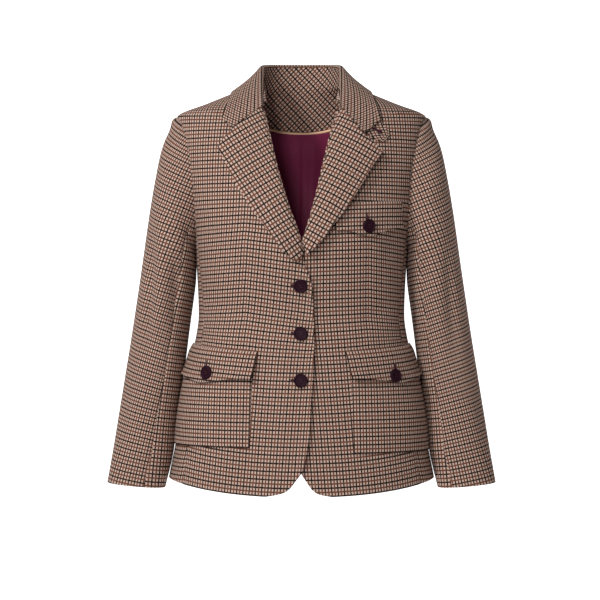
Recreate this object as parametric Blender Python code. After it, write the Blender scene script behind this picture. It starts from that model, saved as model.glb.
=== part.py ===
"""Tweed safari jacket, filled out as if worn, with nobody inside it.

The front faces -Y and the wearer's left is +X. The origin is the middle of the neck, level with the
place where the collar lands on the shoulders. Every cloth piece is a thin wall: a grid of points on
the body form, the sleeve form or the neck form, given its thickness along the form's own normal.
"""

from collections import namedtuple
from functools import partial
from math import acos, asin, copysign, cos, exp, pi, radians, sin

import bmesh
import bpy
from mathutils import Vector

# Cloth and gaps, in metres
CLOTH = 0.0022
LINING = 0.0010
FACING = 0.0015
SEAM_GAP = 0.0003
LAYER_GAP = 0.0008
INSIDE_GAP = 0.0016
FRONT_LAP = 0.0036

# Body form: one row for each height, half width and depths from the middle
Ring = namedtuple("Ring", "height half_width front back")
BODY_RINGS = (
    Ring(-0.640, 0.2160, 0.1370, 0.1410),
    Ring(-0.613, 0.2118, 0.1355, 0.1390),
    Ring(-0.560, 0.2015, 0.1320, 0.1350),
    Ring(-0.510, 0.1945, 0.1280, 0.1290),
    Ring(-0.455, 0.1850, 0.1230, 0.1190),
    Ring(-0.430, 0.1785, 0.1205, 0.1140),
    Ring(-0.400, 0.1708, 0.1165, 0.1060),
    Ring(-0.355, 0.1643, 0.1130, 0.0980),
    Ring(-0.330, 0.1648, 0.1165, 0.0970),
    Ring(-0.290, 0.1668, 0.1255, 0.1010),
    Ring(-0.235, 0.1710, 0.1340, 0.1090),
    Ring(-0.200, 0.1770, 0.1335, 0.1120),
    Ring(-0.150, 0.1870, 0.1240, 0.1135),
    Ring(-0.080, 0.1975, 0.1010, 0.1060),
    Ring(-0.038, 0.1990, 0.0780, 0.0955),
    Ring(-0.020, 0.1560, 0.0660, 0.0905),
    Ring(0.000, 0.1070, 0.0500, 0.0835),
    Ring(0.014, 0.0730, 0.0360, 0.0775),
)
BODY_SQUARENESS = 2.3

# Heights that the panels share
HEM_SIDE = -0.613
HEM_FRONT_DIP = 0.0210
HEM_LEVELS_OUT_AT = -0.500
CORNER_RISE = 0.0365
SHOULDER_TIP = -0.038
NECK_FRONT = 0.012
NECK_BACK = 0.014

# Armhole: an oval on the body form, round the shoulder tip and the armpit
ARMPIT = -0.250
ARMHOLE_HALF_DEPTH = 0.058
SIDE_SEAM_START = 140

# Seams beside the side panel, as angles from the centre front at each height
SideSeam = namedtuple("SideSeam", "height front back")
SIDE_SEAMS = (
    SideSeam(-0.640, 59.0, 118.0),
    SideSeam(-0.420, 66.5, 112.0),
    SideSeam(-0.300, 72.5, 108.5),
    SideSeam(-0.225, 76.9, 106.4),
)

# Front edges below the break, and roll lines above it: how far each front reaches from the centre,
# positive on its own side
FrontEdge = namedtuple("FrontEdge", "height right left")
FRONT_EDGES = (
    FrontEdge(-0.634, 0.0560, 0.0470),
    FrontEdge(-0.630, 0.0345, 0.0265),
    FrontEdge(-0.624, 0.0213, 0.0175),
    FrontEdge(-0.609, 0.0090, 0.0065),
    FrontEdge(-0.597, 0.0004, -0.0010),
    FrontEdge(-0.577, -0.0053, -0.0070),
    FrontEdge(-0.531, -0.0114, -0.0140),
    FrontEdge(-0.483, -0.0140, -0.0180),
    FrontEdge(-0.455, -0.0165, -0.0180),
    FrontEdge(-0.400, -0.0185, -0.0180),
    FrontEdge(-0.314, -0.0160, -0.0180),
    FrontEdge(-0.290, -0.0105, -0.0165),
    FrontEdge(-0.273, -0.0040, -0.0100),
    FrontEdge(-0.255, -0.0022, -0.0030),
    FrontEdge(-0.237, 0.0010, 0.0017),
    FrontEdge(-0.187, 0.0190, 0.0165),
    FrontEdge(-0.113, 0.0400, 0.0340),
    FrontEdge(-0.070, 0.0495, 0.0445),
    FrontEdge(-0.033, 0.0590, 0.0560),
    FrontEdge(-0.020, 0.0665, 0.0650),
    FrontEdge(0.000, 0.0715, 0.0715),
    FrontEdge(0.012, 0.0720, 0.0720),
)
LAP_FULL_WITHIN = 0.026
LAP_GONE_BEYOND = 0.065

# Lapels, from the break up: the height on the roll line and the outer edge that faces it
LapelRow = namedtuple("LapelRow", "roll_height edge_across edge_height")
RIGHT_LAPEL = (
    LapelRow(-0.262, 0.0060, -0.2685),
    LapelRow(-0.245, 0.0240, -0.2557),
    LapelRow(-0.205, 0.0548, -0.2172),
    LapelRow(-0.165, 0.0825, -0.1787),
    LapelRow(-0.130, 0.1010, -0.1480),
    LapelRow(-0.085, 0.1157, -0.1171),
    LapelRow(-0.033, 0.1265, -0.0945),
)
LEFT_LAPEL = (
    LapelRow(-0.237, 0.0065, -0.2600),
    LapelRow(-0.222, 0.0269, -0.2419),
    LapelRow(-0.195, 0.0500, -0.2120),
    LapelRow(-0.160, 0.0783, -0.1735),
    LapelRow(-0.112, 0.1039, -0.1295),
    LapelRow(-0.033, 0.1220, -0.1030),
)
RIGHT_NOTCH = (0.1010, -0.0660)
LEFT_NOTCH = (0.0915, -0.0755)
NOTCH_PART = 0.55
LAPEL_ROLL_LIFT = 0.0032
LAPEL_EDGE_LIFT = 0.0062
LAPEL_BULGE = 0.0045
GORGE_GAP = 0.0012

# Neck form, from the centre back round to the gorge: the fold of the collar, the collar's outer edge
# on the body, the neck seam, and the lower edge of the inside neck piece
NeckRow = namedtuple(
    "NeckRow",
    "fold_across fold_back fold_height edge_across edge_height"
    " seam_across seam_back seam_height facing_angle facing_height bulge",
)
NECK_ROWS = (
    NeckRow(0.0000, 0.0730, 0.0555, 0.0000, -0.0200, 0.0000, 0.0715, 0.012, 180, -0.0540, 0.0060),
    NeckRow(0.0430, 0.0580, 0.0540, 0.0660, -0.0160, 0.0415, 0.0600, 0.012, 152, -0.0415, 0.0040),
    NeckRow(0.0650, 0.0130, 0.0460, 0.1060, 0.0007, 0.0670, 0.0120, 0.011, 112, -0.0100, -0.0025),
    NeckRow(0.0635, -0.0380, 0.0090, 0.1155, -0.0230, 0.0570, -0.0395, -0.002, 31, -0.0130, 0.0040),
    NeckRow(0.0610, -0.0770, -0.0265, 0.1235, -0.0490, 0.0530, -0.0655, -0.032, 19, -0.0380, 0.0060),
)
NECK_MIDDLE = 0.02
NECK_PULL = 0.3
COLLAR_TURN = 0.0045
COLLAR_TURN_AT_GORGE = 0.0015
COLLAR_TURN_PART = 0.14
COLLAR_BACK_LIFT = 0.0038
COLLAR_FRONT_LIFT = 0.0066
COLLAR_NOTCH = {"right": (0.1010, -0.0655), "left": (0.0915, -0.0750)}
COLLAR_NOTCH_PART = 0.6
COLLAR_END_POWER = 10
TURN_SEAM = 0.0026
FACING_END = 0.90
PIPING_RADIUS = 0.0018
PIPING_DROP = 0.0026
PIPING_END = 0.48
LINING_HALF_ANGLE = 60
LINING_NECK_PART = 0.36
LINING_CROWD = 1.5
LINING_BOTTOM = -0.590
LINING_FOLD = 0.0035
LINING_FOLD_ANGLE = 4.0

# Sleeves: the outer and inner edge of each section seen from the front, its half depth and middle
SleeveRow = namedtuple("SleeveRow", "outer_x outer_z inner_x inner_z half_depth middle")
SLEEVE_ROWS = (
    SleeveRow(0.2005, -0.0400, 0.1725, -0.2500, 0.058, 0.000),
    SleeveRow(0.2216, -0.0840, 0.1735, -0.2570, 0.064, 0.000),
    SleeveRow(0.2338, -0.1400, 0.1722, -0.2660, 0.068, 0.000),
    SleeveRow(0.2430, -0.1940, 0.1708, -0.2760, 0.070, 0.002),
    SleeveRow(0.2558, -0.2816, 0.1700, -0.2980, 0.067, 0.005),
    SleeveRow(0.2707, -0.3790, 0.1790, -0.3760, 0.060, 0.009),
    SleeveRow(0.2822, -0.4520, 0.1925, -0.4500, 0.055, 0.004),
    SleeveRow(0.2905, -0.5060, 0.1995, -0.5110, 0.051, -0.004),
    SleeveRow(0.2988, -0.5620, 0.2068, -0.5680, 0.046, -0.014),
    SleeveRow(0.3082, -0.6195, 0.2160, -0.6280, 0.042, -0.024),
)
SLEEVE_SQUARENESS = 2.2
SLEEVE_STAND = 0.0028
CAP_PART = 0.16
HEAD_BULGE = 0.0028
HEAD_AT = 0.030
HEAD_SPREAD = 0.030
SLEEVE_FRONT_SEAM = {"right": (128, 106), "left": (128, 122)}
SLEEVE_BACK_SEAM = 236

# Lower pockets and their flaps
POCKET_TOP = -0.425
POCKET_BOTTOM = {"right": -0.559, "left": -0.568}
POCKET_INNER_TOP = 0.0755
POCKET_INNER_BOTTOM = 0.0800
POCKET_OUTER_ANGLE = 87
POCKET_LIFT = CLOTH + 0.0010
FLAP_INNER_TOP = 0.0670
FLAP_INNER_BOTTOM = 0.0745
FLAP_TOP = (-0.4110, -0.3990)
FLAP_BOTTOM = (-0.4530, -0.4500)
FLAP_POINT_DROP = 0.0095
FLAP_POINT_AT = 0.47
FLAP_POINT_SPREAD = 0.36
FLAP_FREE_PART = 0.72
FLAP_OUTER_ANGLE = 88
FLAP_LIFT = POCKET_LIFT + CLOTH + 0.0010

# Chest flap on the left front
CHEST_FLAP_ACROSS = (0.0510, 0.1555)
CHEST_FLAP_TOP = (-0.1820, -0.1767)
CHEST_FLAP_BOTTOM = (-0.2245, -0.2170)
CHEST_FLAP_DROP = 0.0125
CHEST_FLAP_POINT_AT = 0.51
CHEST_FLAP_LIFT = CLOTH + 0.0009

# Throat tab under the left collar leaf
TAB_ROOT = (0.1000, -0.0525)
TAB_TIP = (0.1322, -0.0805)
TAB_WIDTH = 0.0320
TAB_TAPER = 0.70
TAB_STRAIGHT = 0.78
TAB_BLUNT = 0.50
TAB_LIFT = CLOTH + 0.0010

# Buttons: radius and thickness, and each one's place on the front
BUTTON_RADIUS = 0.0100
BUTTON_THICKNESS = 0.0042
BUTTON_RIM = 0.0022
BUTTON_EDGE = 0.0010
BUTTON_DISH = 0.0010
BUTTON_STAND = 0.0008
BUTTON_STEPS = 16
FRONT_BUTTON_ACROSS = -0.0015
FRONT_BUTTON_HEIGHTS = (-0.3085, -0.3835, -0.4555)
POCKET_BUTTON_ACROSS = {"right": 0.1430, "left": 0.1410}
POCKET_BUTTON_HEIGHTS = {"right": -0.4455, "left": -0.4500}
CHEST_BUTTON = (0.1040, -0.2165)

# Colours, roughness
TWEED = ((0.34, 0.22, 0.18, 1.0), 0.92)
PLUM = ((0.055, 0.008, 0.022, 1.0), 0.45)
TAN = ((0.50, 0.27, 0.16, 1.0), 0.60)
HORN = ((0.030, 0.010, 0.018, 1.0), 0.35)

# Grids of the walls: columns across and rows up
FRONT_COLUMNS = 7
FRONT_SKIRT_ROWS = 14
CORNER_ROWS = 6
BACK_COLUMNS = 6
BACK_SKIRT_ROWS = 15
ARMHOLE_STEP = 20
SHOULDER_ROWS = 4
SIDE_COLUMNS = 4
SIDE_ROWS = 15
LAPEL_COLUMNS = 7
LAPEL_ROWS = 12
COLLAR_COLUMNS = 26
COLLAR_ROWS = 7
FACING_COLUMNS = 24
FACING_ROWS = 6
LINING_COLUMNS = 16
LINING_ROWS = 18
PIPING_STEPS = 20
SLEEVE_TOP_COLUMNS = 11
SLEEVE_UNDER_COLUMNS = 6
SLEEVE_GRID_ROWS = 20
POCKET_COLUMNS = 8
POCKET_ROWS = 7
FLAP_COLUMNS = 10
FLAP_ROWS = 6
CHEST_FLAP_COLUMNS = 8
CHEST_FLAP_ROWS = 4
TAB_COLUMNS = 9
TAB_ROWS = 4

# Small steps along each form that give its normal
BODY_TURN_STEP = 0.004
BODY_RISE_STEP = 0.0015
NECK_STEP = 0.01
COLLAR_STEP = 0.02
FACING_STEP = 0.05
SLEEVE_STEP = 0.01
SHARP_ANGLE = 40

SIDES = {"right": -1, "left": 1}


def mix(low, high, part):
    return low + (high - low) * part


def soft_step(part):
    part = min(1.0, max(0.0, part))
    return part * part * (3.0 - 2.0 * part)


def table_value(rows, key, column, at):
    """Value of a column at a key, on a smooth line through the table that never overshoots a row."""
    keys = [getattr(row, key) for row in rows]
    values = [getattr(row, column) for row in rows]
    return line_value(keys, values, at)


def line_value(keys, values, at):
    at = min(keys[-1], max(keys[0], at))
    index = max(i for i in range(len(keys) - 1) if keys[i] <= at)
    span = keys[index + 1] - keys[index]
    part = (at - keys[index]) / span
    slopes = [row_slope(keys, values, i) for i in (index, index + 1)]
    low, high = values[index], values[index + 1]
    square, cube = part**2, part**3
    return (
        low * (2 * cube - 3 * square + 1)
        + high * (3 * square - 2 * cube)
        + span * slopes[0] * (cube - 2 * square + part)
        + span * slopes[1] * (cube - square)
    )


def row_slope(keys, values, i):
    """Slope at a row: the harmonic mean of its two sides, or level at a peak."""
    last = len(keys) - 1
    before = (values[i] - values[i - 1]) / (keys[i] - keys[i - 1]) if i > 0 else None
    after = (values[i + 1] - values[i]) / (keys[i + 1] - keys[i]) if i < last else None
    if before is None or after is None:
        return after if before is None else before
    if before * after <= 0:
        return 0.0
    return 2 * before * after / (before + after)


def numbered(rows):
    return [i / (len(rows) - 1) for i in range(len(rows))]


def column(rows, name):
    return [getattr(row, name) for row in rows]


def mirrored(point, side):
    return Vector((point.x * side, point.y, point.z))


def offset(form, a, b, out, step_a, step_b):
    """Point of a form moved out along its normal, which is the cross of its two directions."""
    point = form(a, b)
    along_a = form(a + step_a, b) - form(a - step_a, b)
    along_b = form(a, b + step_b) - form(a, b - step_b)
    return point + along_a.cross(along_b).normalized() * out


# Body form


def ring_size(name, height):
    return table_value(BODY_RINGS, "height", name, height)


def body_form(angle, height):
    """Point on the body: the angle runs from the centre front towards the wearer's left."""
    power = 2.0 / BODY_SQUARENESS
    depth = -ring_size("front", height) if cos(angle) > 0 else ring_size("back", height)
    across = copysign(abs(sin(angle)) ** power, sin(angle))
    return Vector(
        (ring_size("half_width", height) * across, depth * abs(cos(angle)) ** power, height)
    )


def body(angle, height, out):
    return offset(body_form, angle, height, out, BODY_TURN_STEP, BODY_RISE_STEP)


def front_angle(across, height):
    ratio = min(1.0, abs(across) / ring_size("half_width", height))
    return copysign(asin(ratio ** (BODY_SQUARENESS / 2)), across)


def front(across, height, out):
    return body(front_angle(across, height), height, out)


def front_edge(side_name, height):
    return table_value(FRONT_EDGES, "height", side_name, height)


def front_lap(side_name, across):
    """How far the right front stands out where it laps over the left."""
    if side_name == "left":
        return 0.0
    return FRONT_LAP * (1 - soft_step((across - LAP_FULL_WITHIN) / (LAP_GONE_BEYOND - LAP_FULL_WITHIN)))


def hem_height(angle):
    return HEM_SIDE - HEM_FRONT_DIP * max(0.0, cos(angle)) ** 2


def row_height(reference, angle):
    """Height of a panel row, which follows the hem low down and is level higher up."""
    hem_front = HEM_SIDE - HEM_FRONT_DIP
    follow = max(0.0, (HEM_LEVELS_OUT_AT - reference) / (HEM_LEVELS_OUT_AT - hem_front))
    return reference + (hem_height(angle) - hem_front) * min(1.0, follow)


def armhole_height(turn):
    middle = (SHOULDER_TIP + ARMPIT) / 2
    return middle + (SHOULDER_TIP - ARMPIT) / 2 * cos(turn)


def armhole_angle(height, edge):
    """Angle of the armhole's front or back edge on the body at a height."""
    half = (SHOULDER_TIP - ARMPIT) / 2
    rise = (height - (SHOULDER_TIP + ARMPIT) / 2) / half
    reach = ARMHOLE_HALF_DEPTH * max(0.0, 1 - rise**2) ** 0.5
    lean = acos((reach / ring_size(edge, height)) ** (BODY_SQUARENESS / 2))
    return lean if edge == "front" else pi - lean


def side_seam(edge, height):
    return radians(table_value(SIDE_SEAMS, "height", edge, height))


def panel_limit(edge, height):
    """Angle where a front or back ends: the shoulder seam, the armhole or the side seam."""
    start = armhole_height(radians(SIDE_SEAM_START))
    gap = SEAM_GAP / ring_size("half_width", height)
    inwards = -gap if edge == "front" else gap
    if height >= SHOULDER_TIP - 1e-6:
        return pi / 2 + inwards
    if height >= start:
        return armhole_angle(height, edge)
    return side_seam(edge, height) + inwards


def spread(low, high, count):
    return [mix(low, high, i / count) for i in range(count + 1)]


def armhole_rows():
    turns = range(SIDE_SEAM_START, -1, -ARMHOLE_STEP)
    return [armhole_height(radians(turn)) for turn in turns]


def front_rows():
    hem_front = HEM_SIDE - HEM_FRONT_DIP
    corner = [
        hem_front + CORNER_RISE * (1 - cos(pi / 2 * i / CORNER_ROWS)) for i in range(CORNER_ROWS)
    ]
    armhole = armhole_rows()
    skirt = spread(hem_front + CORNER_RISE, armhole[0], FRONT_SKIRT_ROWS)
    shoulder = spread(SHOULDER_TIP, NECK_FRONT, SHOULDER_ROWS)
    return corner + skirt[:-1] + armhole[:-1] + shoulder


def back_rows():
    armhole = armhole_rows()
    skirt = spread(HEM_SIDE - HEM_FRONT_DIP, armhole[0], BACK_SKIRT_ROWS)
    shoulder = spread(SHOULDER_TIP, NECK_BACK, SHOULDER_ROWS)
    return skirt[:-1] + armhole[:-1] + shoulder


def front_panel(side_name):
    rows = front_rows()
    side = SIDES[side_name]

    def place(u, v, out):
        reference = rows[round(v * (len(rows) - 1))]
        start = front_angle(front_edge(side_name, reference), reference)
        angle = mix(start, panel_limit("front", reference), u)
        height = row_height(reference, angle)
        across = body_form(angle, height).x
        return mirrored(body(angle, height, out + front_lap(side_name, across)), side)

    return wall("front_" + side_name, FRONT_COLUMNS, len(rows) - 1, place, CLOTH, TWEED)


def back_panel(side_name):
    rows = back_rows()
    side = SIDES[side_name]
    middle = pi - SEAM_GAP / ring_size("half_width", 0)

    def place(u, v, out):
        reference = rows[round(v * (len(rows) - 1))]
        angle = mix(panel_limit("back", reference), middle, u)
        return mirrored(body(angle, row_height(reference, angle), out), side)

    return wall("back_" + side_name, BACK_COLUMNS, len(rows) - 1, place, CLOTH, TWEED)


def side_panel(side_name):
    side = SIDES[side_name]

    def place(u, v, out):
        turn = radians(mix(SIDE_SEAM_START, 360 - SIDE_SEAM_START, u))
        top = armhole_height(turn)
        height = mix(HEM_SIDE, top, v)
        gap = SEAM_GAP / ring_size("half_width", height)
        angle = mix(side_seam("front", height) + gap, side_seam("back", height) - gap, u)
        height = mix(hem_height(angle), top, v)
        return mirrored(body(angle, height, out), side)

    return wall("side_" + side_name, SIDE_COLUMNS, SIDE_ROWS, place, CLOTH, TWEED)


# Lapels


def lapel_point(side_name, u, v):
    """Flat place of a lapel point: across and height, from the roll line to the outer edge."""
    rows = RIGHT_LAPEL if side_name == "right" else LEFT_LAPEL
    notch = RIGHT_NOTCH if side_name == "right" else LEFT_NOTCH
    keys = numbered(rows)
    roll_height = line_value(keys, column(rows, "roll_height"), v)
    roll = Vector((front_edge(side_name, roll_height), roll_height))
    edge = Vector(
        (
            line_value(keys, column(rows, "edge_across"), v),
            line_value(keys, column(rows, "edge_height"), v),
        )
    )
    gorge = Vector((front_edge(side_name, rows[-1].roll_height), rows[-1].roll_height))
    tip = Vector((rows[-1].edge_across, rows[-1].edge_height))
    corner = Vector(notch) - Vector((0.0, GORGE_GAP))
    if u < NOTCH_PART:
        top = gorge.lerp(corner, u / NOTCH_PART)
    else:
        top = corner.lerp(tip, (u - NOTCH_PART) / (1 - NOTCH_PART))
    return roll.lerp(edge, u) + (top - gorge.lerp(tip, u)) * v**3


def lapel(side_name):
    side = SIDES[side_name]

    def place(u, v, out):
        across, height = lapel_point(side_name, u, v)
        lift = mix(LAPEL_ROLL_LIFT, LAPEL_EDGE_LIFT, u) + LAPEL_BULGE * sin(pi * u) * soft_step(2 * v)
        return mirrored(front(across, height, out + lift + front_lap(side_name, across)), side)

    return wall("lapel_" + side_name, LAPEL_COLUMNS, LAPEL_ROWS, place, CLOTH, TWEED)


# Neck


def neck_value(name, t):
    """Value on the neck table: t is 0 at the centre back and 1 at the gorge."""
    return line_value(numbered(NECK_ROWS), column(NECK_ROWS, name), t)


def neck_point(part, t):
    names = [part + "_across", part + "_back", part + "_height"]
    return Vector([neck_value(name, t) for name in names])


def neck_inwards(t):
    """Level direction from the collar's fold to the middle of the neck."""
    fold = neck_point("fold", t)
    return Vector((-fold.x, NECK_MIDDLE * copysign(1, -fold.y) - NECK_PULL * fold.y, 0.0)).normalized()


def collar_turn(t):
    """Where the collar's cloth ends inside the fold."""
    reach = mix(COLLAR_TURN, COLLAR_TURN_AT_GORGE, soft_step(2 * t - 1))
    return neck_point("fold", t) + neck_inwards(t) * reach - Vector((0, 0, reach))


def collar_edge(t):
    """Outer edge of the collar, lying on the body."""
    across = neck_value("edge_across", t)
    height = neck_value("edge_height", t)
    angle = front_angle(across, height)
    if t < 0.5:
        angle = pi - angle
    return body(angle, height, mix(COLLAR_BACK_LIFT, COLLAR_FRONT_LIFT, soft_step(2 * t - 1)))


def collar_end(side_name, part):
    """Front end of the collar: along the gorge to the notch, then out to the leaf's tip."""
    gorge = neck_point("fold", 1)
    tip = collar_edge(1)
    notch = front(*COLLAR_NOTCH[side_name], COLLAR_FRONT_LIFT)
    if part < COLLAR_NOTCH_PART:
        return gorge.lerp(notch, part / COLLAR_NOTCH_PART)
    return notch.lerp(tip, (part - COLLAR_NOTCH_PART) / (1 - COLLAR_NOTCH_PART))


def collar_form(side_name, t, v):
    """Collar from its turned edge inside the fold, over the fold, to its outer edge."""
    fold = neck_point("fold", t)
    if v < COLLAR_TURN_PART:
        part = v / COLLAR_TURN_PART
        return collar_turn(t).lerp(fold, part)
    part = (v - COLLAR_TURN_PART) / (1 - COLLAR_TURN_PART)
    bulge = neck_inwards(t) * -neck_value("bulge", t) * sin(pi * part)
    straight = neck_point("fold", 1).lerp(collar_edge(1), part)
    end = (collar_end(side_name, part) - straight) * t**COLLAR_END_POWER
    return fold.lerp(collar_edge(t), part) + bulge + end


def both_halves(form, end, step_v):
    """Place on a neck form whose u runs from the right side round the back to the left side."""

    def place(u, v, out):
        along = (2 * u - 1) * end
        side_name = "left" if along > 0 else "right"
        point = offset(partial(form, side_name), abs(along), v, out, NECK_STEP, step_v)
        return mirrored(point, SIDES[side_name])

    return place


def collar():
    place = both_halves(collar_form, 1.0, COLLAR_STEP)
    return wall("collar", COLLAR_COLUMNS, COLLAR_ROWS, place, CLOTH, TWEED)


def facing_bottom(t, below, out):
    angle = radians(neck_value("facing_angle", t))
    return body(angle, neck_value("facing_height", t) - below, out)


def neck_facing_form(side_name, t, v):
    """Inside neck piece, from its lower edge past the neck seam up to the collar's turned edge."""
    seam = neck_point("seam", t)
    if v < 0.5:
        return facing_bottom(t, 0.0, -(CLOTH + INSIDE_GAP + FACING)).lerp(seam, 2 * v)
    top = collar_turn(t) - Vector((0, 0, TURN_SEAM))
    return seam.lerp(top, 2 * v - 1)


def neck_facing():
    place = both_halves(neck_facing_form, FACING_END, FACING_STEP)
    return wall("neck_facing", FACING_COLUMNS, FACING_ROWS, place, FACING, TWEED)


def neck_piping():
    out = -(CLOTH + INSIDE_GAP + PIPING_RADIUS)
    curve = bpy.data.curves.new("neck_piping", "CURVE")
    curve.dimensions = "3D"
    curve.bevel_depth = PIPING_RADIUS
    curve.bevel_resolution = 1
    curve.use_fill_caps = True
    spline = curve.splines.new("POLY")
    stations = spread(-PIPING_END, PIPING_END, PIPING_STEPS)
    spline.points.add(len(stations) - 1)
    for point, along in zip(spline.points, stations):
        middle = mirrored(facing_bottom(abs(along), PIPING_DROP, out), copysign(1, along))
        point.co = (*middle, 1.0)
    return finished("neck_piping", curve, TAN)


def back_lining():
    inset = CLOTH + INSIDE_GAP + LINING

    def place(u, v, out):
        along = 2 * u - 1
        lean = LINING_HALF_ANGLE * abs(along) ** LINING_CROWD
        t = lean / LINING_HALF_ANGLE * LINING_NECK_PART
        top = facing_bottom(t, PIPING_DROP + PIPING_RADIUS + LAYER_GAP, 0.0).z
        height = mix(LINING_BOTTOM, top, v)
        fold = LINING_FOLD * exp(-((lean / LINING_FOLD_ANGLE) ** 2))
        return mirrored(body(radians(180 - lean), height, -out - inset - fold), copysign(1, along))

    return wall("back_lining", LINING_COLUMNS, LINING_ROWS, place, LINING, PLUM)


# Sleeves


def sleeve_ring(turn, s):
    names = SleeveRow._fields
    keys = numbered(SLEEVE_ROWS)
    row = SleeveRow(*[line_value(keys, column(SLEEVE_ROWS, name), s) for name in names])
    power = 2.0 / SLEEVE_SQUARENESS
    over = copysign(abs(cos(turn)) ** power, cos(turn))
    fore = copysign(abs(sin(turn)) ** power, sin(turn))
    outer = Vector((row.outer_x, row.middle, row.outer_z))
    inner = Vector((row.inner_x, row.middle, row.inner_z))
    return (outer + inner) / 2 + (outer - inner) / 2 * over - Vector((0, row.half_depth * fore, 0))


def armhole_point(turn):
    height = armhole_height(turn)
    edge = "front" if sin(turn) > 0 else "back"
    return body_form(armhole_angle(height, edge), height)


def sleeve_form(turn, s):
    """Point on the left sleeve: turn is 0 outside and a quarter at the front, s runs down to the cuff."""
    near_seam = 1 - soft_step(s / CAP_PART)
    seam = armhole_point(turn) + Vector((SLEEVE_STAND, 0, 0))
    head = HEAD_BULGE * exp(-(((s - HEAD_AT) / HEAD_SPREAD) ** 2)) * max(0.0, cos(turn))
    return sleeve_ring(turn, s) + (seam - sleeve_ring(turn, 0)) * near_seam + Vector((head, 0, head))


def sleeve_wall(side_name, name, first_seam, last_seam, columns):
    gap = SEAM_GAP / SLEEVE_ROWS[-1].half_depth

    def place(u, v, out):
        turn = mix(radians(first_seam(v)) + gap, radians(last_seam(v)) - gap, u)
        return mirrored(offset(sleeve_form, turn, v, out, SLEEVE_STEP, SLEEVE_STEP), SIDES[side_name])

    return wall(name + side_name, columns, SLEEVE_GRID_ROWS, place, CLOTH, TWEED)


def sleeve(side_name):
    start, end = SLEEVE_FRONT_SEAM[side_name]

    def front_seam(s):
        return mix(start, end, s)

    def back_seam(s):
        return SLEEVE_BACK_SEAM

    def back_seam_before(s):
        return SLEEVE_BACK_SEAM - 360

    sleeve_wall(side_name, "sleeve_top_", back_seam_before, front_seam, SLEEVE_TOP_COLUMNS)
    sleeve_wall(side_name, "sleeve_under_", front_seam, back_seam, SLEEVE_UNDER_COLUMNS)


# Pockets, flaps and tab


def pocket(side_name):
    def place(u, v, out):
        height = mix(POCKET_BOTTOM[side_name], POCKET_TOP, v)
        inner = front_angle(mix(POCKET_INNER_BOTTOM, POCKET_INNER_TOP, v), height)
        angle = mix(inner, radians(POCKET_OUTER_ANGLE), u)
        return mirrored(body(angle, height, out + POCKET_LIFT), SIDES[side_name])

    return wall("pocket_" + side_name, POCKET_COLUMNS, POCKET_ROWS, place, CLOTH, TWEED)


def point_drop(u, at, drop):
    """How far a pointed flap hangs below its corners."""
    return drop * max(0.0, 1 - abs(u - at) / FLAP_POINT_SPREAD)


def flap(side_name):
    def place(u, v, out):
        top = mix(*FLAP_TOP, u)
        bottom = mix(*FLAP_BOTTOM, u) - point_drop(u, FLAP_POINT_AT, FLAP_POINT_DROP)
        height = mix(bottom, top, v)
        inner = front_angle(mix(FLAP_INNER_BOTTOM, FLAP_INNER_TOP, v), height)
        angle = mix(inner, radians(FLAP_OUTER_ANGLE), u)
        lift = mix(FLAP_LIFT, POCKET_LIFT, soft_step((v - FLAP_FREE_PART) / (1 - FLAP_FREE_PART)))
        return mirrored(body(angle, height, out + lift), SIDES[side_name])

    return wall("flap_" + side_name, FLAP_COLUMNS, FLAP_ROWS, place, CLOTH, TWEED)


def chest_flap():
    def place(u, v, out):
        bottom = mix(*CHEST_FLAP_BOTTOM, u) - point_drop(u, CHEST_FLAP_POINT_AT, CHEST_FLAP_DROP)
        height = mix(bottom, mix(*CHEST_FLAP_TOP, u), v)
        return front(mix(*CHEST_FLAP_ACROSS, u), height, out + CHEST_FLAP_LIFT)

    return wall("chest_flap", CHEST_FLAP_COLUMNS, CHEST_FLAP_ROWS, place, CLOTH, TWEED)


def throat_tab():
    root = Vector(TAB_ROOT)
    length = Vector(TAB_TIP) - root
    across = Vector((-length.y, length.x)).normalized() * TAB_WIDTH

    def place(u, v, out):
        past_straight = max(0.0, (u - TAB_STRAIGHT) / (1 - TAB_STRAIGHT))
        width = mix(1.0, TAB_TAPER, u) * max(TAB_BLUNT, (1 - past_straight**2) ** 0.5)
        spot = root + length * u + across * (v - 0.5) * width
        return front(spot.x, spot.y, out + TAB_LIFT)

    return wall("throat_tab", TAB_COLUMNS, TAB_ROWS, place, CLOTH, TWEED)


# Buttons


def button(name, across, height, lift):
    """Turned disc with a raised rim and a dished middle, lying on the cloth."""
    profile = (
        (0.0, 0.0),
        (BUTTON_RADIUS - BUTTON_EDGE, 0.0),
        (BUTTON_RADIUS, BUTTON_EDGE),
        (BUTTON_RADIUS, BUTTON_THICKNESS - BUTTON_EDGE),
        (BUTTON_RADIUS - BUTTON_EDGE, BUTTON_THICKNESS),
        (BUTTON_RADIUS - BUTTON_RIM, BUTTON_THICKNESS),
        (BUTTON_RADIUS - BUTTON_RIM - BUTTON_EDGE, BUTTON_THICKNESS - BUTTON_DISH),
        (0.0, BUTTON_THICKNESS - BUTTON_DISH),
    )
    bm = bmesh.new()
    verts = [bm.verts.new((radius, 0.0, rise)) for radius, rise in profile]
    edges = [bm.edges.new(pair) for pair in zip(verts, verts[1:])]
    bmesh.ops.spin(
        bm, geom=verts + edges, axis=(0, 0, 1), angle=2 * pi, steps=BUTTON_STEPS, use_merge=True
    )
    bmesh.ops.remove_doubles(bm, verts=bm.verts, dist=1e-6)
    bmesh.ops.recalc_face_normals(bm, faces=bm.faces)
    obj = finished(name, mesh_of(name, bm), HORN)
    base = front(across, height, lift)
    obj.location = base
    obj.rotation_mode = "QUATERNION"
    outwards = front(across, height, lift + BUTTON_RADIUS) - base
    obj.rotation_quaternion = outwards.to_track_quat("Z", "Y")
    return obj


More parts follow.
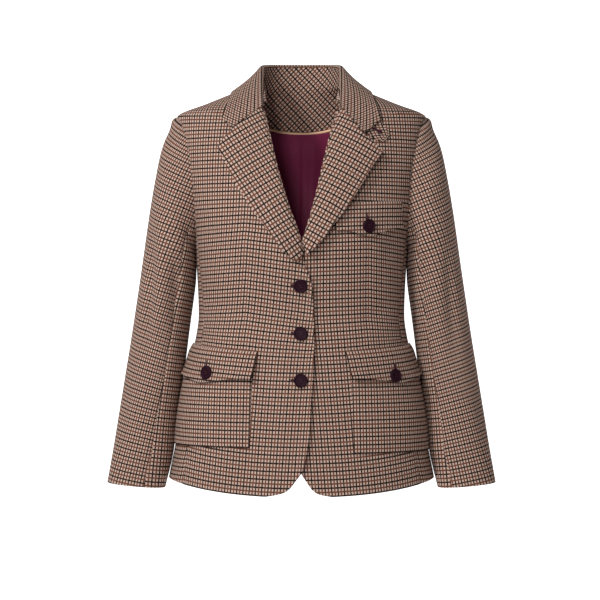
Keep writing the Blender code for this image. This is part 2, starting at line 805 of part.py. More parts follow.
def buttons():
    for number, height in enumerate(FRONT_BUTTON_HEIGHTS, 1):
        button(f"button_front_{number}", FRONT_BUTTON_ACROSS, height, FRONT_LAP + BUTTON_STAND)
    for name, side in SIDES.items():
        across = POCKET_BUTTON_ACROSS[name] * side
        button("button_pocket_" + name, across, POCKET_BUTTON_HEIGHTS[name], FLAP_LIFT + BUTTON_STAND)
    button("button_chest", *CHEST_BUTTON, CHEST_FLAP_LIFT + BUTTON_STAND)


# Making objects


def mesh_of(name, bm):
    mesh = bpy.data.meshes.new(name)
    bm.to_mesh(mesh)
    bm.free()
    mesh.shade_smooth()
    mesh.set_sharp_from_angle(angle=radians(SHARP_ANGLE))
    return mesh


def finished(name, data, finish):
    """Object of a piece, with its own material."""
    colour, roughness = finish
    material = bpy.data.materials.new(name)
    material.use_nodes = True
    shader = material.node_tree.nodes["Principled BSDF"]
    shader.inputs["Base Color"].default_value = colour
    shader.inputs["Roughness"].default_value = roughness
    data.materials.append(material)
    obj = bpy.data.objects.new(name, data)
    bpy.context.collection.objects.link(obj)
    return obj


def wall(name, columns, rows, place, thickness, finish):
    """Closed cloth wall: a grid of points on a form, and the same grid moved in by the thickness."""
    bm = bmesh.new()
    bmesh.ops.create_grid(bm, x_segments=columns, y_segments=rows, size=0.5)
    extruded = bmesh.ops.extrude_face_region(bm, geom=bm.faces[:])["geom"]
    outer = {item for item in extruded if isinstance(item, bmesh.types.BMVert)}
    for vert in bm.verts:
        u, v = vert.co.x + 0.5, vert.co.y + 0.5
        vert.co = place(u, v, 0.0 if vert in outer else -thickness)
    bmesh.ops.recalc_face_normals(bm, faces=bm.faces)
    return finished(name, mesh_of(name, bm), finish)


def make_jacket():
    for old in list(bpy.data.objects):
        bpy.data.objects.remove(old)
    for name in SIDES:
        front_panel(name)
        side_panel(name)
        back_panel(name)
        sleeve(name)
        lapel(name)
        pocket(name)
        flap(name)
    collar()
    neck_facing()
    neck_piping()
    back_lining()
    chest_flap()
    throat_tab()
    buttons()


make_jacket()
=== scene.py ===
"""Looks of the tweed safari jacket: fine cloth shells on the solids' form, sewn details, light and camera."""

from bisect import bisect_right
from collections import namedtuple
from functools import partial
from math import acos, asin, copysign, cos, exp, pi, radians, sin

import bmesh
import bpy
from mathutils import Matrix, Vector


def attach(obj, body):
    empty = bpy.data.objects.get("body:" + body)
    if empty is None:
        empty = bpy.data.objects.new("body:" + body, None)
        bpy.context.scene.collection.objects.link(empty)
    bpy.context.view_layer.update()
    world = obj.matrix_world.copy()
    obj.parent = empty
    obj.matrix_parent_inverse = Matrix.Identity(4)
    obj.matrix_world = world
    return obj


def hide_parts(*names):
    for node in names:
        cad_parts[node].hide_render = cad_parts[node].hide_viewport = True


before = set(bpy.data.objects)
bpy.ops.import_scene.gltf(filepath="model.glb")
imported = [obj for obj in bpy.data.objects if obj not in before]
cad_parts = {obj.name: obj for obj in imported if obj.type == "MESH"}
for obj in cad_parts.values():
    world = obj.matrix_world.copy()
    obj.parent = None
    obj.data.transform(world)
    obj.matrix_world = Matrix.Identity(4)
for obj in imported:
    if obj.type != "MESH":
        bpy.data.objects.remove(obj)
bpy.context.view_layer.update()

# Cloth and gaps, in metres
CLOTH = 0.0022
LINING = 0.0010
FACING = 0.0015
INSIDE_GAP = 0.0016
FRONT_LAP = 0.0036
SHOWN_SPACING = 0.0065

# Steps that find a form's directions
ANGLE_STEP = 0.004
HEIGHT_STEP = 0.0015
SLEEVE_STEP = 0.01
OUT_STEP = 0.01

# Body form: one row for each height, half width and depths from the middle
Ring = namedtuple("Ring", "height half_width front back")
BODY_RINGS = (
    Ring(-0.640, 0.2160, 0.1370, 0.1410),
    Ring(-0.613, 0.2118, 0.1355, 0.1390),
    Ring(-0.560, 0.2015, 0.1320, 0.1350),
    Ring(-0.510, 0.1945, 0.1280, 0.1290),
    Ring(-0.455, 0.1850, 0.1230, 0.1190),
    Ring(-0.430, 0.1785, 0.1205, 0.1140),
    Ring(-0.400, 0.1708, 0.1165, 0.1060),
    Ring(-0.355, 0.1643, 0.1130, 0.0980),
    Ring(-0.330, 0.1648, 0.1165, 0.0970),
    Ring(-0.290, 0.1668, 0.1255, 0.1010),
    Ring(-0.235, 0.1710, 0.1340, 0.1090),
    Ring(-0.200, 0.1770, 0.1335, 0.1120),
    Ring(-0.150, 0.1870, 0.1240, 0.1135),
    Ring(-0.080, 0.1975, 0.1010, 0.1060),
    Ring(-0.038, 0.1990, 0.0780, 0.0955),
    Ring(-0.020, 0.1560, 0.0660, 0.0905),
    Ring(0.000, 0.1070, 0.0500, 0.0835),
    Ring(0.014, 0.0730, 0.0360, 0.0775),
)
BODY_SQUARENESS = 2.3

# Heights that the panels share
HEM_SIDE = -0.613
HEM_FRONT_DIP = 0.0210
CORNER_RISE = 0.0365
SHOULDER_TIP = -0.038
NECK_FRONT = 0.012
NECK_BACK = 0.014

# Armhole: an oval on the body form, round the shoulder tip and the armpit
ARMPIT = -0.250
ARMHOLE_HALF_DEPTH = 0.058
SIDE_SEAM_START = 140

# Seams beside the side panel, as angles from the centre front at each height
SideSeam = namedtuple("SideSeam", "height front back")
SIDE_SEAMS = (
    SideSeam(-0.640, 59.0, 118.0),
    SideSeam(-0.420, 66.5, 112.0),
    SideSeam(-0.300, 72.5, 108.5),
    SideSeam(-0.225, 76.9, 106.4),
)

# Front edges below the break, and roll lines above it: how far each front reaches from the centre,
# positive on its own side
FrontEdge = namedtuple("FrontEdge", "height right left")
FRONT_EDGES = (
    FrontEdge(-0.634, 0.0560, 0.0470),
    FrontEdge(-0.630, 0.0345, 0.0265),
    FrontEdge(-0.624, 0.0213, 0.0175),
    FrontEdge(-0.609, 0.0090, 0.0065),
    FrontEdge(-0.597, 0.0004, -0.0010),
    FrontEdge(-0.577, -0.0053, -0.0070),
    FrontEdge(-0.531, -0.0114, -0.0140),
    FrontEdge(-0.483, -0.0140, -0.0180),
    FrontEdge(-0.455, -0.0165, -0.0180),
    FrontEdge(-0.400, -0.0185, -0.0180),
    FrontEdge(-0.314, -0.0160, -0.0180),
    FrontEdge(-0.290, -0.0105, -0.0165),
    FrontEdge(-0.273, -0.0040, -0.0100),
    FrontEdge(-0.255, -0.0022, -0.0030),
    FrontEdge(-0.237, 0.0010, 0.0017),
    FrontEdge(-0.187, 0.0190, 0.0165),
    FrontEdge(-0.113, 0.0400, 0.0340),
    FrontEdge(-0.070, 0.0495, 0.0445),
    FrontEdge(-0.033, 0.0590, 0.0560),
    FrontEdge(-0.020, 0.0665, 0.0650),
    FrontEdge(0.000, 0.0715, 0.0715),
    FrontEdge(0.012, 0.0720, 0.0720),
)
LAP_FULL_WITHIN = 0.026
LAP_GONE_BEYOND = 0.065

# Lapels, from the break up: the height on the roll line and the outer edge that faces it
LapelRow = namedtuple("LapelRow", "roll_height edge_across edge_height")
RIGHT_LAPEL = (
    LapelRow(-0.262, 0.0060, -0.2685),
    LapelRow(-0.245, 0.0240, -0.2557),
    LapelRow(-0.205, 0.0548, -0.2172),
    LapelRow(-0.165, 0.0825, -0.1787),
    LapelRow(-0.130, 0.1010, -0.1480),
    LapelRow(-0.085, 0.1157, -0.1171),
    LapelRow(-0.033, 0.1265, -0.0945),
)
LEFT_LAPEL = (
    LapelRow(-0.237, 0.0065, -0.2600),
    LapelRow(-0.222, 0.0269, -0.2419),
    LapelRow(-0.195, 0.0500, -0.2120),
    LapelRow(-0.160, 0.0783, -0.1735),
    LapelRow(-0.112, 0.1039, -0.1295),
    LapelRow(-0.033, 0.1220, -0.1030),
)
RIGHT_NOTCH = (0.1010, -0.0660)
LEFT_NOTCH = (0.0915, -0.0755)
NOTCH_PART = 0.55
LAPEL_ROLL_LIFT = 0.0032
LAPEL_EDGE_LIFT = 0.0062
LAPEL_BULGE = 0.0045

# Neck form, from the centre back round to the gorge: the fold of the collar, the collar's outer edge
# on the body, the neck seam, and the lower edge of the inside neck piece
NeckRow = namedtuple(
    "NeckRow",
    "fold_across fold_back fold_height edge_across edge_height"
    " seam_across seam_back seam_height facing_angle facing_height bulge",
)
NECK_ROWS = (
    NeckRow(0.0000, 0.0730, 0.0555, 0.0000, -0.0200, 0.0000, 0.0715, 0.012, 180, -0.0540, 0.0060),
    NeckRow(0.0430, 0.0580, 0.0540, 0.0660, -0.0160, 0.0415, 0.0600, 0.012, 152, -0.0330, 0.0040),
    NeckRow(0.0650, 0.0130, 0.0460, 0.1060, 0.0007, 0.0670, 0.0120, 0.011, 112, -0.0100, -0.0025),
    NeckRow(0.0635, -0.0380, 0.0090, 0.1155, -0.0230, 0.0570, -0.0395, -0.002, 31, -0.0130, 0.0040),
    NeckRow(0.0610, -0.0770, -0.0265, 0.1235, -0.0490, 0.0530, -0.0655, -0.032, 19, -0.0380, 0.0060),
)
NECK_MIDDLE = 0.02
NECK_PULL = 0.3
COLLAR_TURN = 0.0060
COLLAR_TURN_AT_GORGE = 0.0015
COLLAR_TURN_PART = 0.14
COLLAR_BACK_LIFT = 0.0038
COLLAR_FRONT_LIFT = 0.0066
COLLAR_NOTCH = {"right": (0.1010, -0.0655), "left": (0.0915, -0.0750)}
COLLAR_NOTCH_PART = 0.6
COLLAR_END_POWER = 10
FACING_END = 0.90
PIPING_RADIUS = 0.0018
PIPING_DROP = 0.0026
PIPING_END = 0.48
LINING_HALF_ANGLE = 60
LINING_NECK_PART = 0.36
LINING_CROWD = 1.5
LINING_BOTTOM = -0.590
LINING_FOLD = 0.0035
LINING_FOLD_ANGLE = 4.0

# Sleeves: the outer and inner edge of each section seen from the front, its half depth and middle
SleeveRow = namedtuple("SleeveRow", "outer_x outer_z inner_x inner_z half_depth middle")
SLEEVE_ROWS = (
    SleeveRow(0.2005, -0.0400, 0.1725, -0.2500, 0.058, 0.000),
    SleeveRow(0.2216, -0.0840, 0.1693, -0.2570, 0.064, 0.000),
    SleeveRow(0.2338, -0.1400, 0.1676, -0.2660, 0.068, 0.000),
    SleeveRow(0.2430, -0.1940, 0.1680, -0.2760, 0.070, 0.002),
    SleeveRow(0.2558, -0.2816, 0.1688, -0.2980, 0.067, 0.005),
    SleeveRow(0.2707, -0.3790, 0.1790, -0.3760, 0.060, 0.009),
    SleeveRow(0.2822, -0.4520, 0.1882, -0.4500, 0.055, 0.004),
    SleeveRow(0.2905, -0.5060, 0.1975, -0.5110, 0.051, -0.004),
    SleeveRow(0.2988, -0.5620, 0.2030, -0.5680, 0.046, -0.014),
    SleeveRow(0.3082, -0.6195, 0.2160, -0.6280, 0.042, -0.024),
)
SLEEVE_SQUARENESS = 2.2
CAP_PART = 0.16
HEAD_BULGE = 0.0036
HEAD_AT = 0.018
HEAD_SPREAD = 0.026
SLEEVE_FRONT_SEAM = {"right": (128, 106), "left": (128, 122)}
SLEEVE_BACK_SEAM = 236

# Lower pockets and their flaps
POCKET_TOP = -0.425
POCKET_BOTTOM = {"right": -0.559, "left": -0.568}
POCKET_INNER_TOP = 0.0755
POCKET_INNER_BOTTOM = 0.0800
POCKET_OUTER_ANGLE = 87
POCKET_LIFT = CLOTH + 0.0010
FLAP_INNER_TOP = 0.0670
FLAP_INNER_BOTTOM = 0.0745
FLAP_TOP = (-0.4110, -0.3990)
FLAP_BOTTOM = (-0.4530, -0.4500)
FLAP_POINT_DROP = 0.0095
FLAP_POINT_AT = 0.47
FLAP_POINT_SPREAD = 0.36
FLAP_FREE_PART = 0.72
FLAP_OUTER_ANGLE = 88
FLAP_LIFT = POCKET_LIFT + CLOTH + 0.0010

# Chest flap on the left front
CHEST_FLAP_ACROSS = (0.0510, 0.1555)
CHEST_FLAP_TOP = (-0.1820, -0.1767)
CHEST_FLAP_BOTTOM = (-0.2245, -0.2170)
CHEST_FLAP_DROP = 0.0125
CHEST_FLAP_POINT_AT = 0.51
CHEST_FLAP_LIFT = CLOTH + 0.0009

# Throat tab under the left collar leaf
TAB_ROOT = (0.1000, -0.0525)
TAB_TIP = (0.1322, -0.0805)
TAB_WIDTH = 0.0320
TAB_TAPER = 0.70
TAB_STRAIGHT = 0.78
TAB_BLUNT = 0.50
TAB_LIFT = CLOTH + 0.0010

# Buttons and the keyhole buttonholes beside them
BUTTON_RADIUS = 0.0107
BUTTON_THICKNESS = 0.0042
BUTTON_RIM = 0.0022
BUTTON_EDGE = 0.0010
BUTTON_DISH = 0.0010
BUTTON_STAND = 0.0008
BUTTON_STEPS = 48
BUTTON_ROUND = 0.0003
BUTTON_ROUND_ANGLE = 25
FRONT_BUTTON_ACROSS = -0.0015
FRONT_BUTTON_HEIGHTS = (-0.3085, -0.3835, -0.4555)
POCKET_BUTTON_ACROSS = {"right": 0.1430, "left": 0.1410}
POCKET_BUTTON_HEIGHTS = {"right": -0.4455, "left": -0.4500}
CHEST_BUTTON = (0.1018, -0.2168)

# Camera of the photo: level, straight on, 1.6 mm to a pixel at the middle of the jacket
CAMERA_DISTANCE = 3.2
CAMERA_ACROSS = -0.0024
CAMERA_HEIGHT = -0.3312
CAMERA_LENS = 120.0
FLOOR_HEIGHT = -0.86

# Grids of the shown cloth
CORNER_ROWS = 10
ARMHOLE_STEP = 5
SHOULDER_ROWS = 9
FRONT_COLUMNS = 38
BACK_COLUMNS = 30
SIDE_COLUMNS = 16
SIDE_ROWS = 58
LAPEL_COLUMNS = 22
LAPEL_ROWS = 42
COLLAR_COLUMNS = 72
COLLAR_ROWS = 22
FACING_COLUMNS = 56
FACING_ROWS = 18
LINING_COLUMNS = 80
LINING_ROWS = 60
SLEEVE_TOP_COLUMNS = 42
SLEEVE_UNDER_COLUMNS = 22
SLEEVE_GRID_ROWS = 92
POCKET_COLUMNS = 24
POCKET_ROWS = 22
FLAP_COLUMNS = 30
FLAP_ROWS = 12
CHEST_FLAP_COLUMNS = 20
CHEST_FLAP_ROWS = 12
TAB_COLUMNS = 14
TAB_ROWS = 8
PIPING_STEPS = 60

# Woven rows are level on the chest and dip towards the centre front lower down
ROWS_LEVEL_ABOVE = -0.340
ROWS_DIP_BELOW = -0.460
ROOF_TOP = -0.150
ROOF_FOOT = -0.450
ROOF_FADE = 0.100
FRONT_SIDE = 0.165
SHOULDER_FROM = -0.080

# Seams, edges and fullness of the shown cloth
SEAM_DEPTH = 0.0016
SEAM_WIDTH = 0.0030
SEAM_LAP = 0.0005
SIDE_LAP = 0.0018
SIDE_TUCK = 1.6
EDGE_ROUND = 0.4
EDGE_ANGLE = 60
SHARP_ANGLE = 40
EDGE_STAND = 0.0050
EDGE_STAND_WIDTH = 0.0120
EDGE_STAND_TOP = -0.268
EDGE_STAND_FOOT = -0.612
EDGE_STAND_FADE = 0.030
EDGE_TUCK = 0.0012
EDGE_TUCK_WIDTH = 0.0030
LAPEL_ROLL = 0.0050
LAPEL_CLOTH = 0.0032
LAPEL_MORE_LIFT = 0.0064
FOLD_ROUND = 0.05
GORGE_START = (0.0602, -0.0282)
FACING_SEAM = 0.0010
PIPING_SHOWN = 0.0023
LINING_FREE_PART = 0.93
LINING_CLEAR = 0.0030
POCKET_FILL = 0.0024
POCKET_FULL_TO = 0.75
POCKET_OPEN_PART = 0.1
POCKET_WIDTH = 0.15
POCKET_LENGTH = 0.14
FLAP_CURL = 0.0060
FLAP_CURL_PART = 0.2
FLAP_HANG = 0.0036
FLAP_HANG_POWER = 6
FLAP_HOLE_RISE = 0.0004
FLAP_TOP_TUCK = 0.0012
FLAP_TUCK_PART = 0.06
CHEST_FLAP_TUCK_PART = 0.08
SLEEVE_LENGTH = 0.59
SLEEVE_GAUGE = 0.055
SLEEVE_LEAN = 0.14
ARMHOLE_TUCK = 0.0026
TOP_TUCK_PART = 0.45
LOW_TUCK_PART = 2.4
TUCK_PART = 0.016
SLEEVE_CUT_FROM = 0.42
SleeveGrain = namedtuple("SleeveGrain", "upper lower")
SLEEVE_GRAIN = {"sleeve_top_": SleeveGrain(19.0, 4.0), "sleeve_under_": SleeveGrain(4.0, 0.0)}
LAPEL_GRAIN = {"right": 33.0, "left": 30.0}
FACING_GRAIN = 45.0
TAB_GRAIN = 31.0

# Darts on the fronts, by the line each follows
Dart = namedtuple("Dart", "low high across_low across_high row_peak row_side")
DARTS = {
    "right": Dart(-0.384, -0.252, 0.0920, 0.0830, 0.012, 0.007),
    "left": Dart(-0.392, -0.236, 0.1020, 0.1060, 0.005, -0.003),
}
DART_DEPTH = 0.0016
DART_WIDTH = 0.0028
DART_FADE = 6

# Creases: place, lean from upright, length, width, depth and bow of each
Crease = namedtuple("Crease", "across height lean length width depth bow")
FRONT_CREASES = {
    "right": (
        Crease(0.120, -0.345, 62, 0.110, 0.008, 0.0020, 0.004),
        Crease(0.140, -0.235, 25, 0.120, 0.012, 0.0022, 0.003),
        Crease(0.086, -0.590, 2, 0.130, 0.009, 0.0026, 0.002),
    ),
    "left": (
        Crease(0.125, -0.350, 60, 0.110, 0.008, 0.0018, 0.004),
        Crease(0.145, -0.245, 22, 0.110, 0.012, 0.0022, 0.003),
    ),
}
BACK_CREASES = (
    Crease(0.090, -0.365, 70, 0.150, 0.010, 0.0022, 0.005),
    Crease(0.075, -0.330, 78, 0.110, 0.008, 0.0016, 0.003),
    Crease(0.130, -0.170, 12, 0.150, 0.014, 0.0026, 0.004),
    Crease(0.070, -0.520, 4, 0.160, 0.020, 0.0024, 0.002),
)
SLEEVE_CREASES = {
    "right": (
        Crease(0.062, 0.288, 10, 0.220, 0.010, 0.0070, 0.004),
        Crease(0.083, 0.280, 10, 0.170, 0.009, -0.0026, 0.003),
        Crease(0.107, 0.270, 8, 0.140, 0.009, 0.0060, 0.002),
        Crease(0.070, 0.130, -24, 0.140, 0.014, 0.0036, 0.005),
        Crease(0.040, 0.455, 6, 0.150, 0.013, 0.0030, 0.003),
        Crease(-0.085, 0.300, -62, 0.100, 0.010, 0.0034, 0.006),
        Crease(-0.075, 0.345, -70, 0.080, 0.009, 0.0028, 0.004),
        Crease(-0.060, 0.180, 14, 0.150, 0.013, 0.0034, 0.004),
    ),
    "left": (
        Crease(0.070, 0.305, 8, 0.220, 0.011, 0.0062, 0.003),
        Crease(0.091, 0.290, 9, 0.160, 0.010, -0.0024, 0.002),
        Crease(0.110, 0.255, 6, 0.130, 0.009, 0.0052, 0.002),
        Crease(0.066, 0.140, -20, 0.130, 0.014, 0.0034, 0.004),
        Crease(0.035, 0.470, 4, 0.140, 0.013, 0.0028, 0.002),
        Crease(-0.082, 0.312, -58, 0.110, 0.010, 0.0032, 0.005),
        Crease(-0.070, 0.355, -66, 0.080, 0.009, 0.0026, 0.004),
        Crease(-0.064, 0.190, 11, 0.140, 0.013, 0.0032, 0.003),
    ),
}
Pleat = namedtuple("Pleat", "angle width depth")
LINING_PLEATS = (
    Pleat(-34, 5.0, 0.0035),
    Pleat(-13, 1.6, -0.0016),
    Pleat(-6, 1.3, 0.0018),
    Pleat(0.4, 0.7, -0.0016),
    Pleat(4.5, 1.2, 0.0016),
    Pleat(9, 1.5, -0.0016),
    Pleat(24, 4.5, -0.0016),
    Pleat(38, 5.0, 0.0032),
)

# Thread in the buttons and buttonholes
BUTTON_LEAN = 12.0
ROD_SIDES = 10
HOLE_SPACING = 0.0017
HOLE_RADIUS = 0.0007
# Button holes are near-black discs of painted shade, sunk into the face and rising just above it
HOLE_SINK = Vector((0.0, 0.0, 0.0004))
HOLE_RISE = Vector((0.0, 0.0, 0.00008))
THREAD_RADIUS = 0.0004
THREAD_RISE = 0.0003
FRONT_HOLE_REACH = 0.0150
FLAP_HOLE_REACH = 0.0195
CHEST_HOLE_ASIDE = 0.003
CHEST_HOLE_LEAN = -82
TAB_HOLE = (0.1086, -0.0644)
TAB_HOLE_LEAN = -27.0
TAB_HOLE_LENGTH = 0.0150
SLIT = 0.0004
STITCH_SPACING = 0.0008
STITCH_LENGTH = 0.0028
FRONT_HOLE_TIP = 0.75
FLAP_HOLE_TIP = 0.20
TAB_HOLE_TIP = 0.35
STITCH_RISE = 0.0004
STITCH_RADIUS = 0.00045
EYELET = 0.0020
EYELET_INNER = 0.0010
EYELET_OUTER = 0.00368
EYELET_HOLE = 0.0014
EYELET_SINK = Vector((0.0, 0.0, 0.0005))
EYELET_RISE = Vector((0.0, 0.0, 0.0001))
EYELET_TURN = 140.0
EYELET_STITCHES = 12

# Check of the tweed: thread sizes, and each band's share of the repeat
CHECK_THREADS = 16
WARP_THREAD = 0.000612
WEFT_THREAD = 0.00079
WARP_BANDS = (0.215, 0.215)
WEFT_BANDS = (0.20, 0.20)
WARP_SHARE = 0.41
WANDER = 0.0004
WANDER_SCALE = 60.0
TWILL_STEPS = 5.0
FIBRE_SCALE = 1400.0
FLECK = 0.7
FLECK_FROM = 0.62
WEAVE_BUMP = 0.5
WEAVE_DEPTH = 0.0003
DARK_WARP_MORE = 0.40
DARK_WEFT_MORE = 0.45

# Colours
CREAM = (0.68, 0.495, 0.405)
BROWN = (0.185, 0.076, 0.050)
BLACK = (0.034, 0.021, 0.017)
PLUM = (0.21, 0.024, 0.072)
TAN = (0.92, 0.56, 0.35)
HORN = (0.022, 0.004, 0.011)
THREAD = (0.055, 0.006, 0.014)
# Near-black painted shade for the button holes, buttonhole slits and eyelet holes
HOLE_SHADE = (0.006, 0.002, 0.003)
Looks = namedtuple("Looks", "tweed lining piping button thread dark")

# Studio
FLOOR_REACH = 12.0
WALL_BACK = 9.0
WALL_CURVE = 1.5
WALL_TOP = 6.0
FLOOR_STEPS = 4
CURVE_STEPS = 12
PALE = (0.8, 0.8, 0.8)
BACKDROP_GLOW = 1.0
GLOW_FROM = -0.2
GLOW_FULL = 0.3
WORLD_STRENGTH = 0.13
Lamp = namedtuple("Lamp", "name place size power")
LAMPS = (
    Lamp("key", (-1.6, -2.1, 1.4), 0.4, 47.0),
    Lamp("fill", (-0.6, -2.9, 0.9), 0.4, 29.0),
)

SIDES = {"right": -1, "left": 1}


# Small helpers


class Line:
    """Smooth line through a table's values that never overshoots one."""

    def __init__(self, keys, values, level_start=False):
        self.keys = list(keys)
        self.values = list(values)
        self.slopes = [self.slope(i) for i in range(len(self.keys))]
        if level_start:
            self.slopes[0] = 0.0

    def slope(self, i):
        steps = [self.step(j) for j in (i - 1, i) if 0 <= j < len(self.keys) - 1]
        if len(steps) == 1:
            return steps[0]
        before, after = steps
        return 2 * before * after / (before + after) if before * after > 0 else 0.0

    def step(self, i):
        return (self.values[i + 1] - self.values[i]) / (self.keys[i + 1] - self.keys[i])

    def __call__(self, at):
        at = min(self.keys[-1], max(self.keys[0], at))
        i = min(bisect_right(self.keys, at), len(self.keys) - 1) - 1
        span = self.keys[i + 1] - self.keys[i]
        part = (at - self.keys[i]) / span
        square, cube = part**2, part**3
        return (
            self.values[i] * (2 * cube - 3 * square + 1)
            + self.values[i + 1] * (3 * square - 2 * cube)
            + span * self.slopes[i] * (cube - 2 * square + part)
            + span * self.slopes[i + 1] * (cube - square)
        )


def lines(rows, key=None, level=()):
    """One smooth line for each column of a table, along its key or evenly from 0 to 1."""
    keys = [getattr(row, key) for row in rows] if key else spread(0.0, 1.0, len(rows) - 1)
    names = [name for name in rows[0]._fields if name != key]
    return {name: Line(keys, [getattr(row, name) for row in rows], name in level) for name in names}


def mix(low, high, part):
    return low + (high - low) * part


def spread(low, high, count):
    return [mix(low, high, i / count) for i in range(count + 1)]


RING = lines(BODY_RINGS, "height")
SEAM = lines(SIDE_SEAMS, "height")
EDGE = lines(FRONT_EDGES, "height")
NECK = lines(
    NECK_ROWS,
    level=("fold_back", "fold_height", "edge_height", "seam_back", "seam_height", "facing_height", "bulge"),
)
SLEEVE = lines(SLEEVE_ROWS)
LAPEL = {"right": lines(RIGHT_LAPEL), "left": lines(LEFT_LAPEL)}


def soft_step(part):
    part = min(1.0, max(0.0, part))
    return part * part * (3.0 - 2.0 * part)


def hump(distance, width):
    return exp(-((distance / width) ** 2))


def mirrored(point, side):
    return Vector((point.x * side, point.y, point.z))


def offset(form, a, b, out, step_a, step_b):
    """Point of a form moved out along its normal, which is the cross of its two directions."""
    point = form(a, b)
    along_a = form(a + step_a, b) - form(a - step_a, b)
    along_b = form(a, b + step_b) - form(a, b - step_b)
    return point + along_a.cross(along_b).normalized() * out


# Body form


def body_form(angle, height):
    """Point on the body: the angle runs from the centre front towards the wearer's left."""
    power = 2.0 / BODY_SQUARENESS
    depth = -RING["front"](height) if cos(angle) > 0 else RING["back"](height)
    across = copysign(abs(sin(angle)) ** power, sin(angle))
    return Vector((RING["half_width"](height) * across, depth * abs(cos(angle)) ** power, height))


def body(angle, height, out):
    return offset(body_form, angle, height, out, ANGLE_STEP, HEIGHT_STEP)


def front_angle(across, height):
    ratio = min(1.0, abs(across) / RING["half_width"](height))
    return copysign(asin(ratio ** (BODY_SQUARENESS / 2)), across)


def front(across, height, out):
    return body(front_angle(across, height), height, out)


def front_lap(side_name, across):
    """How far the right front stands out where it laps over the left."""
    if side_name == "left":
        return 0.0
    return FRONT_LAP * (1 - soft_step((across - LAP_FULL_WITHIN) / (LAP_GONE_BEYOND - LAP_FULL_WITHIN)))


def hem_height(angle):
    return HEM_SIDE - HEM_FRONT_DIP * max(0.0, cos(angle)) ** 2


def roof_rise(dart, across):
    """Rise of the woven rows over the centre front: highest on the dart and less at the side."""
    line = (dart.across_low + dart.across_high) / 2
    if across < line:
        return dart.row_peak * across / line
    return mix(dart.row_peak, dart.row_side, (across - line) / (FRONT_SIDE - line))


def row_height(dart, reference, angle):
    """Height of a woven row: level on the chest, roofed over the dart, and like the hem lower down."""
    roof = soft_step((ROOF_TOP - reference) / ROOF_FADE) * soft_step((reference - ROOF_FOOT) / ROOF_FADE)
    follow = soft_step((ROWS_LEVEL_ABOVE - reference) / (ROWS_LEVEL_ABOVE - ROWS_DIP_BELOW))
    across = body_form(angle, reference).x
    hem_rise = HEM_FRONT_DIP * (1 - max(0.0, cos(angle)) ** 2)
    return reference + hem_rise * follow + roof_rise(dart, across) * roof


def armhole_height(turn):
    middle = (SHOULDER_TIP + ARMPIT) / 2
    return middle + (SHOULDER_TIP - ARMPIT) / 2 * cos(turn)


def armhole_angle(height, edge):
    """Angle of the armhole's front or back edge on the body at a height."""
    half = (SHOULDER_TIP - ARMPIT) / 2
    rise = (height - (SHOULDER_TIP + ARMPIT) / 2) / half
    reach = ARMHOLE_HALF_DEPTH * max(0.0, 1 - rise**2) ** 0.5
    lean = acos((reach / RING[edge](height)) ** (BODY_SQUARENESS / 2))
    return lean if edge == "front" else pi - lean


def panel_limit(edge, height):
    """Angle where a front or back ends: the shoulder seam, the armhole or the side seam."""
    if height >= SHOULDER_TIP - 1e-6:
        return pi / 2
    if height >= armhole_height(radians(SIDE_SEAM_START)):
        return armhole_angle(height, edge)
    return radians(SEAM[edge](height))


def rows_up(low, corner_rise, top):
    """Row heights from the hem to the neck: close at a rounded corner and round the armhole."""
    corner = [low + corner_rise * (1 - cos(pi / 2 * i / CORNER_ROWS)) for i in range(CORNER_ROWS)]
    turns = range(SIDE_SEAM_START, 0, -ARMHOLE_STEP)
    armhole = [armhole_height(radians(turn)) for turn in turns]
    count = round((armhole[0] - low - corner_rise) / SHOWN_SPACING)
    skirt = spread(low + corner_rise, armhole[0], count)
    shoulder = spread(SHOULDER_TIP, top, SHOULDER_ROWS)
    return (corner if corner_rise else []) + skirt[:-1] + armhole + shoulder


# Creases: soft troughs and ridges, each with its own place, lean, length, width and depth


def crease_relief(creases, across, height):
    """Rise of the cloth from a table of creases; a ridge has a depth below zero."""
    total = 0.0
    for crease in creases:
        lean = radians(crease.lean)
        right, up = across - crease.across, height - crease.height
        along = right * sin(lean) + up * cos(lean)
        aside = right * cos(lean) - up * sin(lean) + crease.bow * (1 - (2 * along / crease.length) ** 2)
        fade = 1 - soft_step(abs(along) / (crease.length / 2))
        total -= crease.depth * hump(aside, crease.width) * fade
    return total


def seam_dip(distance):
    return -SEAM_DEPTH * hump(distance, SEAM_WIDTH)


# Cloth shells


def grid_points(columns, rows, place):
    return [[place(i / columns, j / rows) for i in range(columns + 1)] for j in range(rows + 1)]


def arc_cut(points, anchor):
    """Flat cut of a grid: across by length along each row, up by the rows' distance at an anchor column."""
    cut = []
    start_u = start_v = 0.0
    for j, row in enumerate(points):
        if j:
            step = row[anchor] - points[j - 1][anchor]
            side = row[min(anchor + 1, len(row) - 1)] - row[max(anchor - 1, 0)]
            slip = step.dot(side.normalized())
            start_u += slip
            start_v += max(0.0, step.length_squared - slip**2) ** 0.5
        lengths = [0.0]
        for before, after in zip(row, row[1:]):
            lengths.append(lengths[-1] + (after - before).length)
        cut.append([(start_u + length - lengths[anchor], start_v) for length in lengths])
    return cut


def shoulder_cut(points, cut):
    """Cut whose rows rise over the shoulders by each column's own length."""
    woven = [list(row) for row in cut]
    for j in range(1, len(points)):
        if points[j][-1].z < SHOULDER_FROM:
            continue
        for i, (u, v) in enumerate(cut[j]):
            step = points[j][i] - points[j - 1][i]
            beside = (points[j][min(i + 1, len(cut[j]) - 1)] - points[j][max(i - 1, 0)]).normalized()
            rise = (step - beside * step.dot(beside)).length
            woven[j][i] = (u, woven[j - 1][i][1] + rise)
    return woven


def upright_cut(points, anchor):
    """Flat cut of an upright grid: across by level length from an anchor column, up by height."""
    cut = []
    for row in points:
        lengths = [0.0]
        for before, after in zip(row, row[1:]):
            lengths.append(lengths[-1] + (after - before).xy.length)
        cut.append([(length - lengths[anchor], point.z) for length, point in zip(lengths, row)])
    return cut


